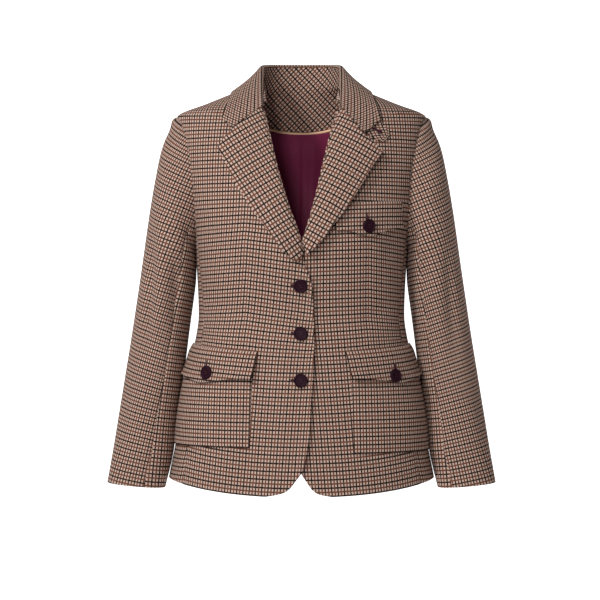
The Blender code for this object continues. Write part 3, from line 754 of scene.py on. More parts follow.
def edge_cut(points, top):
    """Flat cut of a flap, with its woven rows along its top edge."""
    rows = upright_cut(points, 0)
    last = len(points[0]) - 1
    return [[(u, v - mix(*top, i / last)) for i, (u, v) in enumerate(row)] for row in rows]


def turned_cut(cut, degrees):
    turn = radians(degrees)
    return [[(u * cos(turn) - v * sin(turn), u * sin(turn) + v * cos(turn)) for u, v in row] for row in cut]


def shell(name, points, cut, thickness, outside, inside=None, side=1, woven=None):
    """Cloth shell from a grid of points on its outer face; its flat cut, set to the weave, is the UV map."""
    woven = woven or cut
    rows, columns = len(points) - 1, len(points[0]) - 1
    bm = bmesh.new()
    cut_map = bm.loops.layers.uv.new("cut")
    bmesh.ops.create_grid(bm, x_segments=columns, y_segments=rows, size=0.5)
    for vert in bm.verts:
        i, j = round((vert.co.x + 0.5) * columns), round((vert.co.y + 0.5) * rows)
        for loop in vert.link_loops:
            loop[cut_map].uv = woven[j][i]
        vert.co = points[j][i]
    if side < 0:
        bmesh.ops.reverse_faces(bm, faces=bm.faces)
    obj = bpy.data.objects.new(name, mesh_of(name, bm))
    bpy.context.collection.objects.link(obj)
    obj.data.materials.append(outside)
    obj.data.materials.append(inside or outside)
    smooth = obj.modifiers.new("smooth", "SUBSURF")
    smooth.levels = smooth.render_levels = 1
    smooth.boundary_smooth = "PRESERVE_CORNERS"
    smooth.uv_smooth = "NONE"
    solid = obj.modifiers.new("thickness", "SOLIDIFY")
    solid.thickness = thickness
    solid.offset = -1.0
    solid.material_offset = 1
    rounded = obj.modifiers.new("edge", "BEVEL")
    rounded.limit_method = "ANGLE"
    rounded.angle_limit = radians(EDGE_ANGLE)
    rounded.width = thickness * EDGE_ROUND
    rounded.segments = 2
    declare_sheet(points, cut)
    return obj


def grid_area(points):
    total = 0.0
    for low, high in zip(points, points[1:]):
        for i in range(len(low) - 1):
            total += (high[i + 1] - low[i]).cross(high[i] - low[i + 1]).length / 2
    return total


def declare_sheet(points, cut):
    across = [u for row in cut for u, v in row]
    up = [v for row in cut for u, v in row]
    width, length = max(across) - min(across), max(up) - min(up)
    area = min(grid_area(points), width * length)


def mesh_of(name, bm):
    mesh = bpy.data.meshes.new(name)
    bm.to_mesh(mesh)
    bm.free()
    mesh.shade_smooth()
    return mesh


def fit(obj, slot, *nodes):
    """Binds a shown piece to the jacket and hides the nodes it stands for."""
    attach(obj, "root")
    if nodes:
        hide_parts(*nodes)


def lined_piece(name, side, points, cut, woven, looks):
    """Tweed piece with lining on its inner face."""
    cloth = shell(name + "_cloth", points, cut, CLOTH, looks.tweed, looks.lining, side, woven)
    fit(cloth, "tweed", name)


def tweed_piece(name, points, cut, looks, thickness=CLOTH, side=1, woven=None):
    """Tweed piece with the same cloth on both faces."""
    cloth = shell(name + "_cloth", points, cut, thickness, looks.tweed, side=side, woven=woven)
    fit(cloth, "tweed", name)


# Panels of the body


def front_panel(side_name, looks):
    side = SIDES[side_name]
    rows = rows_up(HEM_SIDE - HEM_FRONT_DIP, CORNER_RISE, NECK_FRONT)
    creases = FRONT_CREASES[side_name]
    dart = DARTS[side_name]

    def place(u, v):
        reference = rows[round(v * (len(rows) - 1))]
        start = front_angle(EDGE[side_name](reference), reference)
        limit = panel_limit("front", reference)
        limit = panel_limit("front", row_height(dart, reference, limit))
        angle = mix(start, limit, u)
        height = row_height(dart, reference, angle)
        spot = body_form(angle, height)
        seam = (1 - u) * (limit - start) * RING["half_width"](height)
        out = crease_relief(creases, spot.x, height) + seam_dip(seam) + dart_dip(dart, spot.x, height)
        if side_name == "right":
            out += front_lap(side_name, spot.x) + edge_stand(spot.x - EDGE[side_name](reference), height)
        return mirrored(body(angle, height, out), side)

    points = grid_points(FRONT_COLUMNS, len(rows) - 1, place)
    cut = arc_cut(points, FRONT_COLUMNS // 3)
    lined_piece("front_" + side_name, side, points, cut, shoulder_cut(points, cut), looks)


def edge_stand(inside, height):
    """How far the lapping edge stands off the front under it, below the lapel."""
    near = max(0.0, 1 - inside / EDGE_STAND_WIDTH)
    below = soft_step((EDGE_STAND_TOP - height) / EDGE_STAND_FADE)
    above = soft_step((height - EDGE_STAND_FOOT) / EDGE_STAND_FADE)
    return EDGE_STAND * near**2 * below * above


def dart_dip(dart, across, height):
    part = (height - dart.low) / (dart.high - dart.low)
    if not 0 < part < 1:
        return 0.0
    line = mix(dart.across_low, dart.across_high, part)
    fade = soft_step(DART_FADE * part) * soft_step(DART_FADE * (1 - part))
    return -DART_DEPTH * hump(across - line, DART_WIDTH) * fade


def back_panel(side_name, looks):
    side = SIDES[side_name]
    rows = rows_up(HEM_SIDE, 0.0, NECK_BACK)

    def place(u, v):
        height = rows[round(v * (len(rows) - 1))]
        limit = panel_limit("back", height)
        angle = mix(limit, pi, u)
        girth = (pi - limit) * RING["half_width"](height)
        out = seam_dip(u * girth) + seam_dip((1 - u) * girth)
        out += crease_relief(BACK_CREASES, abs(body_form(angle, height).x), height)
        return mirrored(body(angle, height, out), side)

    points = grid_points(BACK_COLUMNS, len(rows) - 1, place)
    cut = arc_cut(points, BACK_COLUMNS)
    lined_piece("back_" + side_name, side, points, cut, shoulder_cut(points, cut), looks)


def side_panel(side_name, looks):
    side = SIDES[side_name]

    def place(u, v):
        top = armhole_height(radians(mix(SIDE_SEAM_START, 360 - SIDE_SEAM_START, u)))
        height = mix(hem_height(radians(mix(SIDE_SEAMS[0].front, SIDE_SEAMS[0].back, u))), top, v)
        lap = SIDE_LAP / RING["half_width"](height)
        first, last = radians(SEAM["front"](height)) - lap, radians(SEAM["back"](height)) + lap
        angle = mix(first, last, u)
        girth = (last - first) * RING["half_width"](height)
        out = SIDE_TUCK * (seam_dip(u * girth) + seam_dip((1 - u) * girth))
        return mirrored(body(angle, mix(hem_height(angle), top, v), out), side)

    points = grid_points(SIDE_COLUMNS, SIDE_ROWS, place)
    middle = SIDE_COLUMNS // 2
    cut, woven = arc_cut(points, middle), upright_cut(points, middle)
    lined_piece("side_" + side_name, side, points, cut, woven, looks)


# Lapels


def lapel_point(side_name, u, v):
    """Flat place of a lapel point: across and height, from the roll line to the outer edge."""
    table = LAPEL[side_name]
    notch = RIGHT_NOTCH if side_name == "right" else LEFT_NOTCH
    roll = Vector((EDGE[side_name](table["roll_height"](v)), table["roll_height"](v)))
    edge = Vector((table["edge_across"](v), table["edge_height"](v)))
    gorge = Vector((EDGE[side_name](table["roll_height"](1)), table["roll_height"](1)))
    tip = Vector((table["edge_across"](1), table["edge_height"](1)))
    corner = Vector(notch)
    if u < NOTCH_PART:
        top = Vector(GORGE_START).lerp(corner, u / NOTCH_PART)
    else:
        top = corner.lerp(tip, (u - NOTCH_PART) / (1 - NOTCH_PART))
    return roll.lerp(edge, u) + (top - gorge.lerp(tip, u)) * v**3


def lapel(side_name, looks):
    side = SIDES[side_name]

    def place(u, v):
        across, height = lapel_point(side_name, u, v)
        reach = (Vector((across, height)) - lapel_point(side_name, 0, v)).length
        round_off = LAPEL_ROLL * (1 - (1 - (1 - min(1.0, reach / LAPEL_ROLL)) ** 2) ** 0.5)
        lift = mix(LAPEL_ROLL_LIFT, LAPEL_EDGE_LIFT, u) + LAPEL_MORE_LIFT * u**2
        lift += LAPEL_BULGE * sin(pi * u) * soft_step(2 * v) - round_off
        return mirrored(front(across, height, lift + front_lap(side_name, across)), side)

    points = grid_points(LAPEL_COLUMNS, LAPEL_ROWS, place)
    flat = grid_points(LAPEL_COLUMNS, LAPEL_ROWS, lambda u, v: tuple(lapel_point(side_name, u, v)))
    woven = turned_cut(flat, LAPEL_GRAIN[side_name])
    tweed_piece("lapel_" + side_name, points, flat, looks, LAPEL_CLOTH, side, woven)


# Neck


def neck_point(part, t):
    return Vector([NECK[part + name](t) for name in ("_across", "_back", "_height")])


def neck_inwards(t):
    """Level direction from the collar's fold to the middle of the neck."""
    fold = neck_point("fold", t)
    return Vector((-fold.x, NECK_MIDDLE * copysign(1, -fold.y) - NECK_PULL * fold.y, 0.0)).normalized()


def collar_turn(t):
    """Where the collar's cloth ends inside the fold."""
    reach = mix(COLLAR_TURN, COLLAR_TURN_AT_GORGE, soft_step(2 * t - 1))
    return neck_point("fold", t) + neck_inwards(t) * reach - Vector((0, 0, reach))


def collar_edge(t):
    """Outer edge of the collar, lying on the body."""
    height = NECK["edge_height"](t)
    angle = front_angle(NECK["edge_across"](t), height)
    if t < 0.5:
        angle = pi - angle
    return body(angle, height, mix(COLLAR_BACK_LIFT, COLLAR_FRONT_LIFT, soft_step(2 * t - 1)))


def collar_end(side_name, part):
    """Front end of the collar: along the gorge to the notch, then out to the leaf's tip."""
    notch = front(*COLLAR_NOTCH[side_name], COLLAR_FRONT_LIFT)
    if part < COLLAR_NOTCH_PART:
        return neck_point("fold", 1).lerp(notch, part / COLLAR_NOTCH_PART)
    return notch.lerp(collar_edge(1), (part - COLLAR_NOTCH_PART) / (1 - COLLAR_NOTCH_PART))


def collar_form(side_name, t, v):
    """Collar from its turned edge inside the fold, over the fold, to its outer edge."""
    fold = neck_point("fold", t)
    if v < COLLAR_TURN_PART:
        return collar_turn(t).lerp(fold, v / COLLAR_TURN_PART)
    part = (v - COLLAR_TURN_PART) / (1 - COLLAR_TURN_PART)
    bulge = neck_inwards(t) * -NECK["bulge"](t) * sin(pi * part)
    straight = neck_point("fold", 1).lerp(collar_edge(1), part)
    end = (collar_end(side_name, part) - straight) * t**COLLAR_END_POWER
    return fold.lerp(collar_edge(t), part) + bulge + end


def both_halves(form, end):
    """Place on a neck form whose u runs from the right side round the back to the left side."""

    def place(u, v):
        along = (2 * u - 1) * end
        side_name = "left" if along > 0 else "right"
        return mirrored(form(side_name, abs(along), v), SIDES[side_name])

    return place


def collar(looks):
    def rounded(side_name, t, v):
        low, high = max(0.0, v - FOLD_ROUND), min(1.0, v + FOLD_ROUND)
        form = partial(collar_form, side_name, t)
        return (form(low) + form(v) * 2 + form(high)) / 4

    points = grid_points(COLLAR_COLUMNS, COLLAR_ROWS, both_halves(rounded, 1.0))
    cut = arc_cut(points[::-1], COLLAR_COLUMNS // 2)[::-1]
    tweed_piece("collar", points, cut, looks)


def facing_bottom(t, below, out):
    return body(radians(NECK["facing_angle"](t)), NECK["facing_height"](t) - below, out)


def facing_form(side_name, t, v):
    """Inside neck piece, from its lower edge past the neck seam up to the collar's turned edge."""
    seam = neck_point("seam", t)
    if v < 0.5:
        return facing_bottom(t, 0.0, -(CLOTH + INSIDE_GAP + FACING)).lerp(seam, 2 * v)
    return seam.lerp(collar_turn(t) - Vector((0, 0, FACING_SEAM)), 2 * v - 1)


def neck_facing(looks):
    points = grid_points(FACING_COLUMNS, FACING_ROWS, both_halves(facing_form, FACING_END))
    cut = arc_cut(points, FACING_COLUMNS // 2)
    woven = turned_cut(upright_cut(points, FACING_COLUMNS // 2), FACING_GRAIN)
    tweed_piece("neck_facing", points, cut, looks, FACING, woven=woven)


def neck_piping(looks):
    out = -(CLOTH + INSIDE_GAP + PIPING_RADIUS)
    curve = bpy.data.curves.new("neck_piping_cord", "CURVE")
    curve.dimensions = "3D"
    curve.bevel_depth = PIPING_SHOWN
    curve.bevel_resolution = 4
    curve.use_fill_caps = True
    spline = curve.splines.new("POLY")
    stations = spread(-PIPING_END, PIPING_END, PIPING_STEPS)
    spline.points.add(len(stations) - 1)
    for point, along in zip(spline.points, stations):
        point.co = (*mirrored(facing_bottom(abs(along), PIPING_DROP, out), copysign(1, along)), 1.0)
    curve.materials.append(looks.piping)
    obj = bpy.data.objects.new("neck_piping_cord", curve)
    bpy.context.collection.objects.link(obj)
    fit(obj, "piping", "neck_piping")


def back_lining(looks):
    inset = CLOTH + INSIDE_GAP + LINING + LINING_CLEAR

    def place(u, v):
        along = 2 * u - 1
        lean = LINING_HALF_ANGLE * abs(along) ** LINING_CROWD
        t = lean / LINING_HALF_ANGLE * LINING_NECK_PART
        top = facing_bottom(t, PIPING_DROP, 0.0).z
        fold = LINING_FOLD * hump(lean, LINING_FOLD_ANGLE)
        fold += sum(row.depth * hump(copysign(lean, along) - row.angle, row.width) for row in LINING_PLEATS)
        fold *= 1 - soft_step((v - LINING_FREE_PART) / (1 - LINING_FREE_PART))
        spot = body(radians(180 - lean), mix(LINING_BOTTOM, top, v), -inset - fold)
        return mirrored(spot, copysign(1, along))

    points = grid_points(LINING_COLUMNS, LINING_ROWS, place)
    cut = arc_cut(points, LINING_COLUMNS // 2)
    fit(shell("back_lining_cloth", points, cut, LINING, looks.lining), "lining", "back_lining")


# Sleeves


def sleeve_ring(turn, s):
    row = SleeveRow(*[SLEEVE[name](s) for name in SleeveRow._fields])
    power = 2.0 / SLEEVE_SQUARENESS
    over = copysign(abs(cos(turn)) ** power, cos(turn))
    fore = copysign(abs(sin(turn)) ** power, sin(turn))
    outer = Vector((row.outer_x, row.middle, row.outer_z))
    inner = Vector((row.inner_x, row.middle, row.inner_z))
    return (outer + inner) / 2 + (outer - inner) / 2 * over - Vector((0, row.half_depth * fore, 0))


def armhole_spot(turn):
    """Angle and height on the body of a point of the armhole."""
    height = armhole_height(turn)
    return armhole_angle(height, "front" if sin(turn) > 0 else "back"), height


def sleeve_tuck(turn):
    """How the sleeve's edge goes in under the body's cloth at the armhole."""
    angle, height = armhole_spot(turn)
    tuck = ARMHOLE_TUCK * mix(1.0, TOP_TUCK_PART if cos(turn) > 0 else LOW_TUCK_PART, cos(turn) ** 2)
    return body(angle, height, -tuck) - body_form(angle, height) - Vector((tuck, 0, 0))


def sleeve_form(turn, s):
    """Point on the left sleeve: turn is 0 outside and a quarter at the front, s runs down to the cuff."""
    near_seam = 1 - soft_step(s / CAP_PART)
    head = HEAD_BULGE * hump(s - HEAD_AT, HEAD_SPREAD) * max(0.0, cos(turn)) * soft_step(s / TUCK_PART)
    tuck = sleeve_tuck(turn) * (1 - soft_step(s / TUCK_PART))
    seam = (body_form(*armhole_spot(turn)) - sleeve_ring(turn, 0)) * near_seam
    return sleeve_ring(turn, s) + seam + Vector((head, 0, head)) + tuck


def sleeve_panel(side_name, name, first_seam, last_seam, columns, looks):
    side = SIDES[side_name]
    creases = SLEEVE_CREASES[side_name]

    def place(u, v):
        lap = SEAM_LAP / SLEEVE["half_depth"](v)
        first, last = radians(mix(*first_seam, v)) - lap, radians(mix(*last_seam, v)) + lap
        turn = mix(first, last, u)
        girth = (last - first) * SLEEVE["half_depth"](v)
        out = seam_dip(u * girth) + seam_dip((1 - u) * girth) + sleeve_relief(creases, turn, v)
        out *= soft_step(v / CAP_PART)
        return mirrored(offset(sleeve_form, turn, v, out, SLEEVE_STEP, SLEEVE_STEP), side)

    def plain(u, v):
        turn = radians(mix(mix(*first_seam, v), mix(*last_seam, v), u))
        return mirrored(sleeve_form(turn, v), side)

    points = grid_points(columns, SLEEVE_GRID_ROWS, place)
    cut = axis_cut(grid_points(columns, SLEEVE_GRID_ROWS, plain), side)
    lined_piece(name + side_name, side, points, cut, bent_cut(cut, SLEEVE_GRAIN[name]), looks)


def axis_cut(points, side):
    """Flat cut of a sleeve: up along its axis, and across by the length round it below the armpit."""
    axis = Vector((-side * SLEEVE_LEAN, 0.0, 1.0)).normalized()
    last = len(points) - 1
    base = round(SLEEVE_CUT_FROM * last)
    across = [[0.0] * len(row) for row in points]
    for i in range(1, len(points[base])):
        step = points[base][i] - points[base][i - 1]
        across[base][i] = across[base][i - 1] + (step - axis * step.dot(axis)).length
    for rows in (range(base - 1, -1, -1), range(base + 1, last + 1)):
        for j in rows:
            before = j + 1 if j < base else j - 1
            for i, point in enumerate(points[j]):
                row = points[before]
                along = row[min(i + 1, len(row) - 1)] - row[max(i - 1, 0)]
                down = point - row[i]
                round_it = axis.cross(along.cross(down)).normalized()
                round_it *= copysign(1.0, round_it.dot(along))
                across[j][i] = across[before][i] + down.dot(round_it)
    return [[(u, point.dot(axis)) for u, point in zip(*rows)] for rows in zip(across, points)]


def bent_cut(cut, grain):
    """Cut whose woven rows fall by the grain's upper angle at its top and its lower one at its foot."""
    heights = [v for row in cut for u, v in row]
    low, high = min(heights), max(heights)
    foot, more = radians(grain.lower), radians(grain.upper - grain.lower) / (high - low)

    def bent(u, v):
        rise = v - low
        return u - foot * rise - more * rise**2 / 2, v + u * (foot + more * rise)

    return [[bent(u, v) for u, v in row] for row in cut]


def sleeve_relief(creases, turn, s):
    """Rise of the sleeve from its creases, placed by degrees round it and metres down it."""
    round_it = (turn + pi) % (2 * pi) - pi
    return crease_relief(creases, round_it * SLEEVE_GAUGE, s * SLEEVE_LENGTH)


def sleeve(side_name, looks):
    front_seam = SLEEVE_FRONT_SEAM[side_name]
    back_seam = (SLEEVE_BACK_SEAM, SLEEVE_BACK_SEAM)
    back_seam_before = (SLEEVE_BACK_SEAM - 360, SLEEVE_BACK_SEAM - 360)
    sleeve_panel(side_name, "sleeve_top_", back_seam_before, front_seam, SLEEVE_TOP_COLUMNS, looks)
    sleeve_panel(side_name, "sleeve_under_", front_seam, back_seam, SLEEVE_UNDER_COLUMNS, looks)


# Pockets, flaps and tab


def edge_tuck(u, v, width, length, open_top):
    """How far a sewn-on piece sinks towards the cloth under it near its edges."""
    near = min(u * width, (1 - u) * width, v * length)
    if not open_top:
        near = min(near, (1 - v) * length)
    return -EDGE_TUCK * hump(near, EDGE_TUCK_WIDTH)


def pocket(side_name, looks):
    def place(u, v):
        height = mix(POCKET_BOTTOM[side_name], POCKET_TOP, v)
        inner = front_angle(mix(POCKET_INNER_BOTTOM, POCKET_INNER_TOP, v), height)
        angle = mix(inner, radians(POCKET_OUTER_ANGLE), u)
        fill = POCKET_FILL * sin(pi * POCKET_FULL_TO * u) * sin(pi * min(1.0, v + POCKET_OPEN_PART))
        out = POCKET_LIFT + fill + edge_tuck(u, v, POCKET_WIDTH, POCKET_LENGTH, True)
        return mirrored(body(angle, height, out), SIDES[side_name])

    points = grid_points(POCKET_COLUMNS, POCKET_ROWS, place)
    tweed_piece("pocket_" + side_name, points, arc_cut(points, 0), looks, side=SIDES[side_name])


def point_drop(u, at, drop):
    """How far a pointed flap hangs below its corners."""
    return drop * max(0.0, 1 - abs(u - at) / FLAP_POINT_SPREAD)


def flap_stand(v, tuck_part):
    """How far a flap stands off at its free edge and sinks at its sewn edge."""
    return FLAP_HANG * (1 - v) ** FLAP_HANG_POWER - FLAP_TOP_TUCK * hump(1 - v, tuck_part)


def flap(side_name, looks):
    def place(u, v):
        bottom = mix(*FLAP_BOTTOM, u) - point_drop(u, FLAP_POINT_AT, FLAP_POINT_DROP)
        height = mix(bottom, mix(*FLAP_TOP, u), v)
        inner = front_angle(mix(FLAP_INNER_BOTTOM, FLAP_INNER_TOP, v), height)
        angle = mix(inner, radians(FLAP_OUTER_ANGLE), u)
        lift = mix(FLAP_LIFT, POCKET_LIFT, soft_step((v - FLAP_FREE_PART) / (1 - FLAP_FREE_PART)))
        lift += FLAP_CURL * (1 - v) * hump(u, FLAP_CURL_PART) + flap_stand(v, FLAP_TUCK_PART)
        return mirrored(body(angle, height, lift), SIDES[side_name])

    points = grid_points(FLAP_COLUMNS, FLAP_ROWS, place)
    woven = edge_cut(points, FLAP_TOP)
    tweed_piece("flap_" + side_name, points, arc_cut(points, 0), looks, side=SIDES[side_name], woven=woven)


def chest_flap(looks):
    def place(u, v):
        bottom = mix(*CHEST_FLAP_BOTTOM, u) - point_drop(u, CHEST_FLAP_POINT_AT, CHEST_FLAP_DROP)
        height = mix(bottom, mix(*CHEST_FLAP_TOP, u), v)
        out = CHEST_FLAP_LIFT + flap_stand(v, CHEST_FLAP_TUCK_PART)
        return front(mix(*CHEST_FLAP_ACROSS, u), height, out)

    points = grid_points(CHEST_FLAP_COLUMNS, CHEST_FLAP_ROWS, place)
    tweed_piece("chest_flap", points, arc_cut(points, 0), looks, woven=edge_cut(points, CHEST_FLAP_TOP))


def throat_tab(looks):
    root = Vector(TAB_ROOT)
    length = Vector(TAB_TIP) - root
    across = Vector((-length.y, length.x)).normalized() * TAB_WIDTH

    def place(u, v):
        past_straight = max(0.0, (u - TAB_STRAIGHT) / (1 - TAB_STRAIGHT))
        width = mix(1.0, TAB_TAPER, u) * max(TAB_BLUNT, (1 - past_straight**2) ** 0.5)
        spot = root + length * u + across * (v - 0.5) * width
        return front(spot.x, spot.y, TAB_LIFT)

    points = grid_points(TAB_COLUMNS, TAB_ROWS, place)
    cut = arc_cut(points, 0)
    tweed_piece("throat_tab", points, cut, looks, woven=turned_cut(cut, TAB_GRAIN))


# Buttons and buttonholes


def on_front(across, height, lift, lean):
    """Frame on the front of the jacket: x along a lean from level, z out of the cloth."""
    base = front(across, height, lift)
    out = (front(across, height, lift + OUT_STEP) - base).normalized()
    up = (Vector((0, 0, 1)) - out * out.z).normalized()
    right = up.cross(out)
    turn = radians(lean)
    along = right * cos(turn) + up * sin(turn)
    aside = out.cross(along)
    return Matrix.Translation(base) @ Matrix((along, aside, out)).transposed().to_4x4()


def button(name, across, height, lift, looks):
    """Turned disc with a raised rim and a dished middle, and its holes and thread."""
    spot = on_front(across, height, lift, BUTTON_LEAN)
    profile = (
        (0.0, 0.0),
        (BUTTON_RADIUS - BUTTON_EDGE, 0.0),
        (BUTTON_RADIUS, BUTTON_EDGE),
        (BUTTON_RADIUS, BUTTON_THICKNESS - BUTTON_EDGE),
        (BUTTON_RADIUS - BUTTON_EDGE, BUTTON_THICKNESS),
        (BUTTON_RADIUS - BUTTON_RIM, BUTTON_THICKNESS),
        (BUTTON_RADIUS - BUTTON_RIM - BUTTON_EDGE, BUTTON_THICKNESS - BUTTON_DISH),
        (0.0, BUTTON_THICKNESS - BUTTON_DISH),
    )
    bm = bmesh.new()
    verts = [bm.verts.new((radius, 0.0, rise)) for radius, rise in profile]
    edges = [bm.edges.new(pair) for pair in zip(verts, verts[1:])]
    bmesh.ops.spin(
        bm, geom=verts + edges, axis=(0, 0, 1), angle=2 * pi, steps=BUTTON_STEPS, use_merge=True
    )
    bmesh.ops.remove_doubles(bm, verts=bm.verts, dist=1e-6)
    bmesh.ops.transform(bm, matrix=spot, verts=bm.verts)
    disc = made(name + "_disc", bm, looks.button)
    rounded = disc.modifiers.new("edge", "BEVEL")
    rounded.limit_method = "ANGLE"
    rounded.angle_limit = radians(BUTTON_ROUND_ANGLE)
    rounded.width = BUTTON_ROUND
    rounded.segments = 2
    fit(disc, "button", name)
    button_thread(name, spot, looks)


def button_thread(name, spot, looks):
    """Four holes of a button, each a near-black disc of painted shade, and the thread in them."""
    bm = bmesh.new()
    face = BUTTON_THICKNESS - BUTTON_DISH
    for x, y in ((1, 1), (1, -1), (-1, 1), (-1, -1)):
        middle = Vector((x * HOLE_SPACING, y * HOLE_SPACING, face))
        rod(bm, spot, middle - HOLE_SINK, middle + HOLE_RISE, HOLE_RADIUS)
    fit(made(name + "_holes", bm, looks.dark), "button")
    bm = bmesh.new()
    for y in (-HOLE_SPACING, HOLE_SPACING):
        low = Vector((-HOLE_SPACING, y, face + THREAD_RISE))
        rod(bm, spot, low, low + Vector((2 * HOLE_SPACING, 0, 0)), THREAD_RADIUS)
    fit(made(name + "_thread", bm, looks.thread), "button")


def made(name, bm, material):
    bmesh.ops.recalc_face_normals(bm, faces=bm.faces)
    obj = bpy.data.objects.new(name, mesh_of(name, bm))
    obj.data.set_sharp_from_angle(angle=radians(SHARP_ANGLE))
    obj.data.materials.append(material)
    bpy.context.collection.objects.link(obj)
    return obj


def rod(bm, spot, start, end, radius):
    """Short round rod between two places of a local frame."""
    along = end - start
    turn = along.to_track_quat("Z", "Y").to_matrix().to_4x4()
    bmesh.ops.create_cone(
        bm, cap_ends=True, segments=ROD_SIDES, radius1=radius, radius2=radius, depth=along.length,
        matrix=spot @ Matrix.Translation((start + end) / 2) @ turn,
    )


def buttonhole(name, across, height, lift, lean, length, tip, looks):
    """Keyhole buttonhole in whipped thread, from its plain end to the eyelet at its far end."""
    spot = on_front(across, height, lift, lean)
    bm = bmesh.new()
    for x in spread(0.0, length - EYELET, round(length / STITCH_SPACING)):
        reach = SLIT + STITCH_LENGTH * mix(tip, 1.0, x / length)
        for side in (-1, 1):
            inner = Vector((x, side * SLIT, STITCH_RISE))
            rod(bm, spot, inner, Vector((x, side * reach, -STITCH_RISE)), STITCH_RADIUS)
    middle = Vector((length, 0.0, 0.0))
    rise = Vector((0.0, 0.0, STITCH_RISE))
    for turn in spread(-EYELET_TURN, EYELET_TURN, EYELET_STITCHES):
        ray = Vector((cos(radians(turn)), sin(radians(turn)), 0.0))
        rod(bm, spot, middle + ray * EYELET_INNER + rise, middle + ray * EYELET_OUTER - rise, STITCH_RADIUS)
    fit(made(name + "_stitches", bm, looks.thread), "button")
    # The slit and the eyelet hole are near-black rods of painted shade, standing in for the shade inside them
    bm = bmesh.new()
    rod(bm, spot, Vector((0, 0, 0)), middle, SLIT)
    rod(bm, spot, middle - EYELET_SINK, middle + EYELET_RISE, EYELET_HOLE)
    fit(made(name + "_slit", bm, looks.dark), "button")


def buttons(looks):
    front_hole = partial(buttonhole, lean=0, length=FRONT_HOLE_REACH, tip=FRONT_HOLE_TIP, looks=looks)
    flap_hole = partial(buttonhole, length=FLAP_HOLE_REACH, tip=FLAP_HOLE_TIP, looks=looks)
    for number, height in enumerate(FRONT_BUTTON_HEIGHTS, 1):
        button(f"button_front_{number}", FRONT_BUTTON_ACROSS, height, FRONT_LAP + BUTTON_STAND, looks)
        front_hole(f"hole_front_{number}", FRONT_BUTTON_ACROSS - FRONT_HOLE_REACH, height, FRONT_LAP)
    for name, side in SIDES.items():
        across, height = POCKET_BUTTON_ACROSS[name] * side, POCKET_BUTTON_HEIGHTS[name]
        button("button_pocket_" + name, across, height, FLAP_LIFT + BUTTON_STAND, looks)
        top = height + FLAP_HOLE_REACH
        flap_hole("hole_pocket_" + name, across, top, FLAP_LIFT + FLAP_HOLE_RISE, lean=-90)
    across, height = CHEST_BUTTON
    button("button_chest", across, height, CHEST_FLAP_LIFT + BUTTON_STAND, looks)
    start, top = across - CHEST_HOLE_ASIDE, height + FLAP_HOLE_REACH
    flap_hole("hole_chest", start, top, CHEST_FLAP_LIFT + FLAP_HOLE_RISE, lean=CHEST_HOLE_LEAN)
    buttonhole("hole_tab", *TAB_HOLE, TAB_LIFT, TAB_HOLE_LEAN, TAB_HOLE_LENGTH, TAB_HOLE_TIP, looks)


# Materials


class Nodes:
    """Adds nodes to a tree and joins them by name."""

    def __init__(self, tree):
        self.tree = tree

    def add(self, kind, settings=None, **inputs):
        node = self.tree.nodes.new(kind)
        for name, value in (settings or {}).items():
            setattr(node, name, value)
        for name, value in inputs.items():
            self.join(value, node.inputs[name.replace("_", " ")])
        return node

    def join(self, value, socket):
        if isinstance(value, bpy.types.NodeSocket):
            self.tree.links.new(value, socket)
        else:
            socket.default_value = value

    def math(self, operation, *values):
        node = self.tree.nodes.new("ShaderNodeMath")
        node.operation = operation
        for socket, value in zip(node.inputs, values):
            self.join(value, socket)
        return node.outputs[0]

    def blend(self, part, low, high):
        node = self.tree.nodes.new("ShaderNodeMix")
        node.data_type = "RGBA"
        self.join(part, node.inputs["Factor"])
        self.join(low, node.inputs[6])
        self.join(high, node.inputs[7])
        return node.outputs[2]


def new_group(name, inputs, outputs):
    group = bpy.data.node_groups.new(name, "ShaderNodeTree")
    for label, kind in inputs:
        group.interface.new_socket(label, in_out="INPUT", socket_type=kind)
    for label, kind in outputs:
        group.interface.new_socket(label, in_out="OUTPUT", socket_type=kind)
    nodes = Nodes(group)
    start = group.nodes.new("NodeGroupInput")
    end = group.nodes.new("NodeGroupOutput")
    return group, nodes, start, end


def stripe(nodes, place, thread, first, second):
    """Masks of the black and the brown band in one repeat of threads, of their own width."""
    part = nodes.math("FRACT", nodes.math("DIVIDE", place, thread * CHECK_THREADS))
    black = nodes.math("LESS_THAN", part, first)
    past = nodes.math("GREATER_THAN", part, 0.5)
    brown = nodes.math("MULTIPLY", past, nodes.math("LESS_THAN", part, 0.5 + second))
    return black, brown


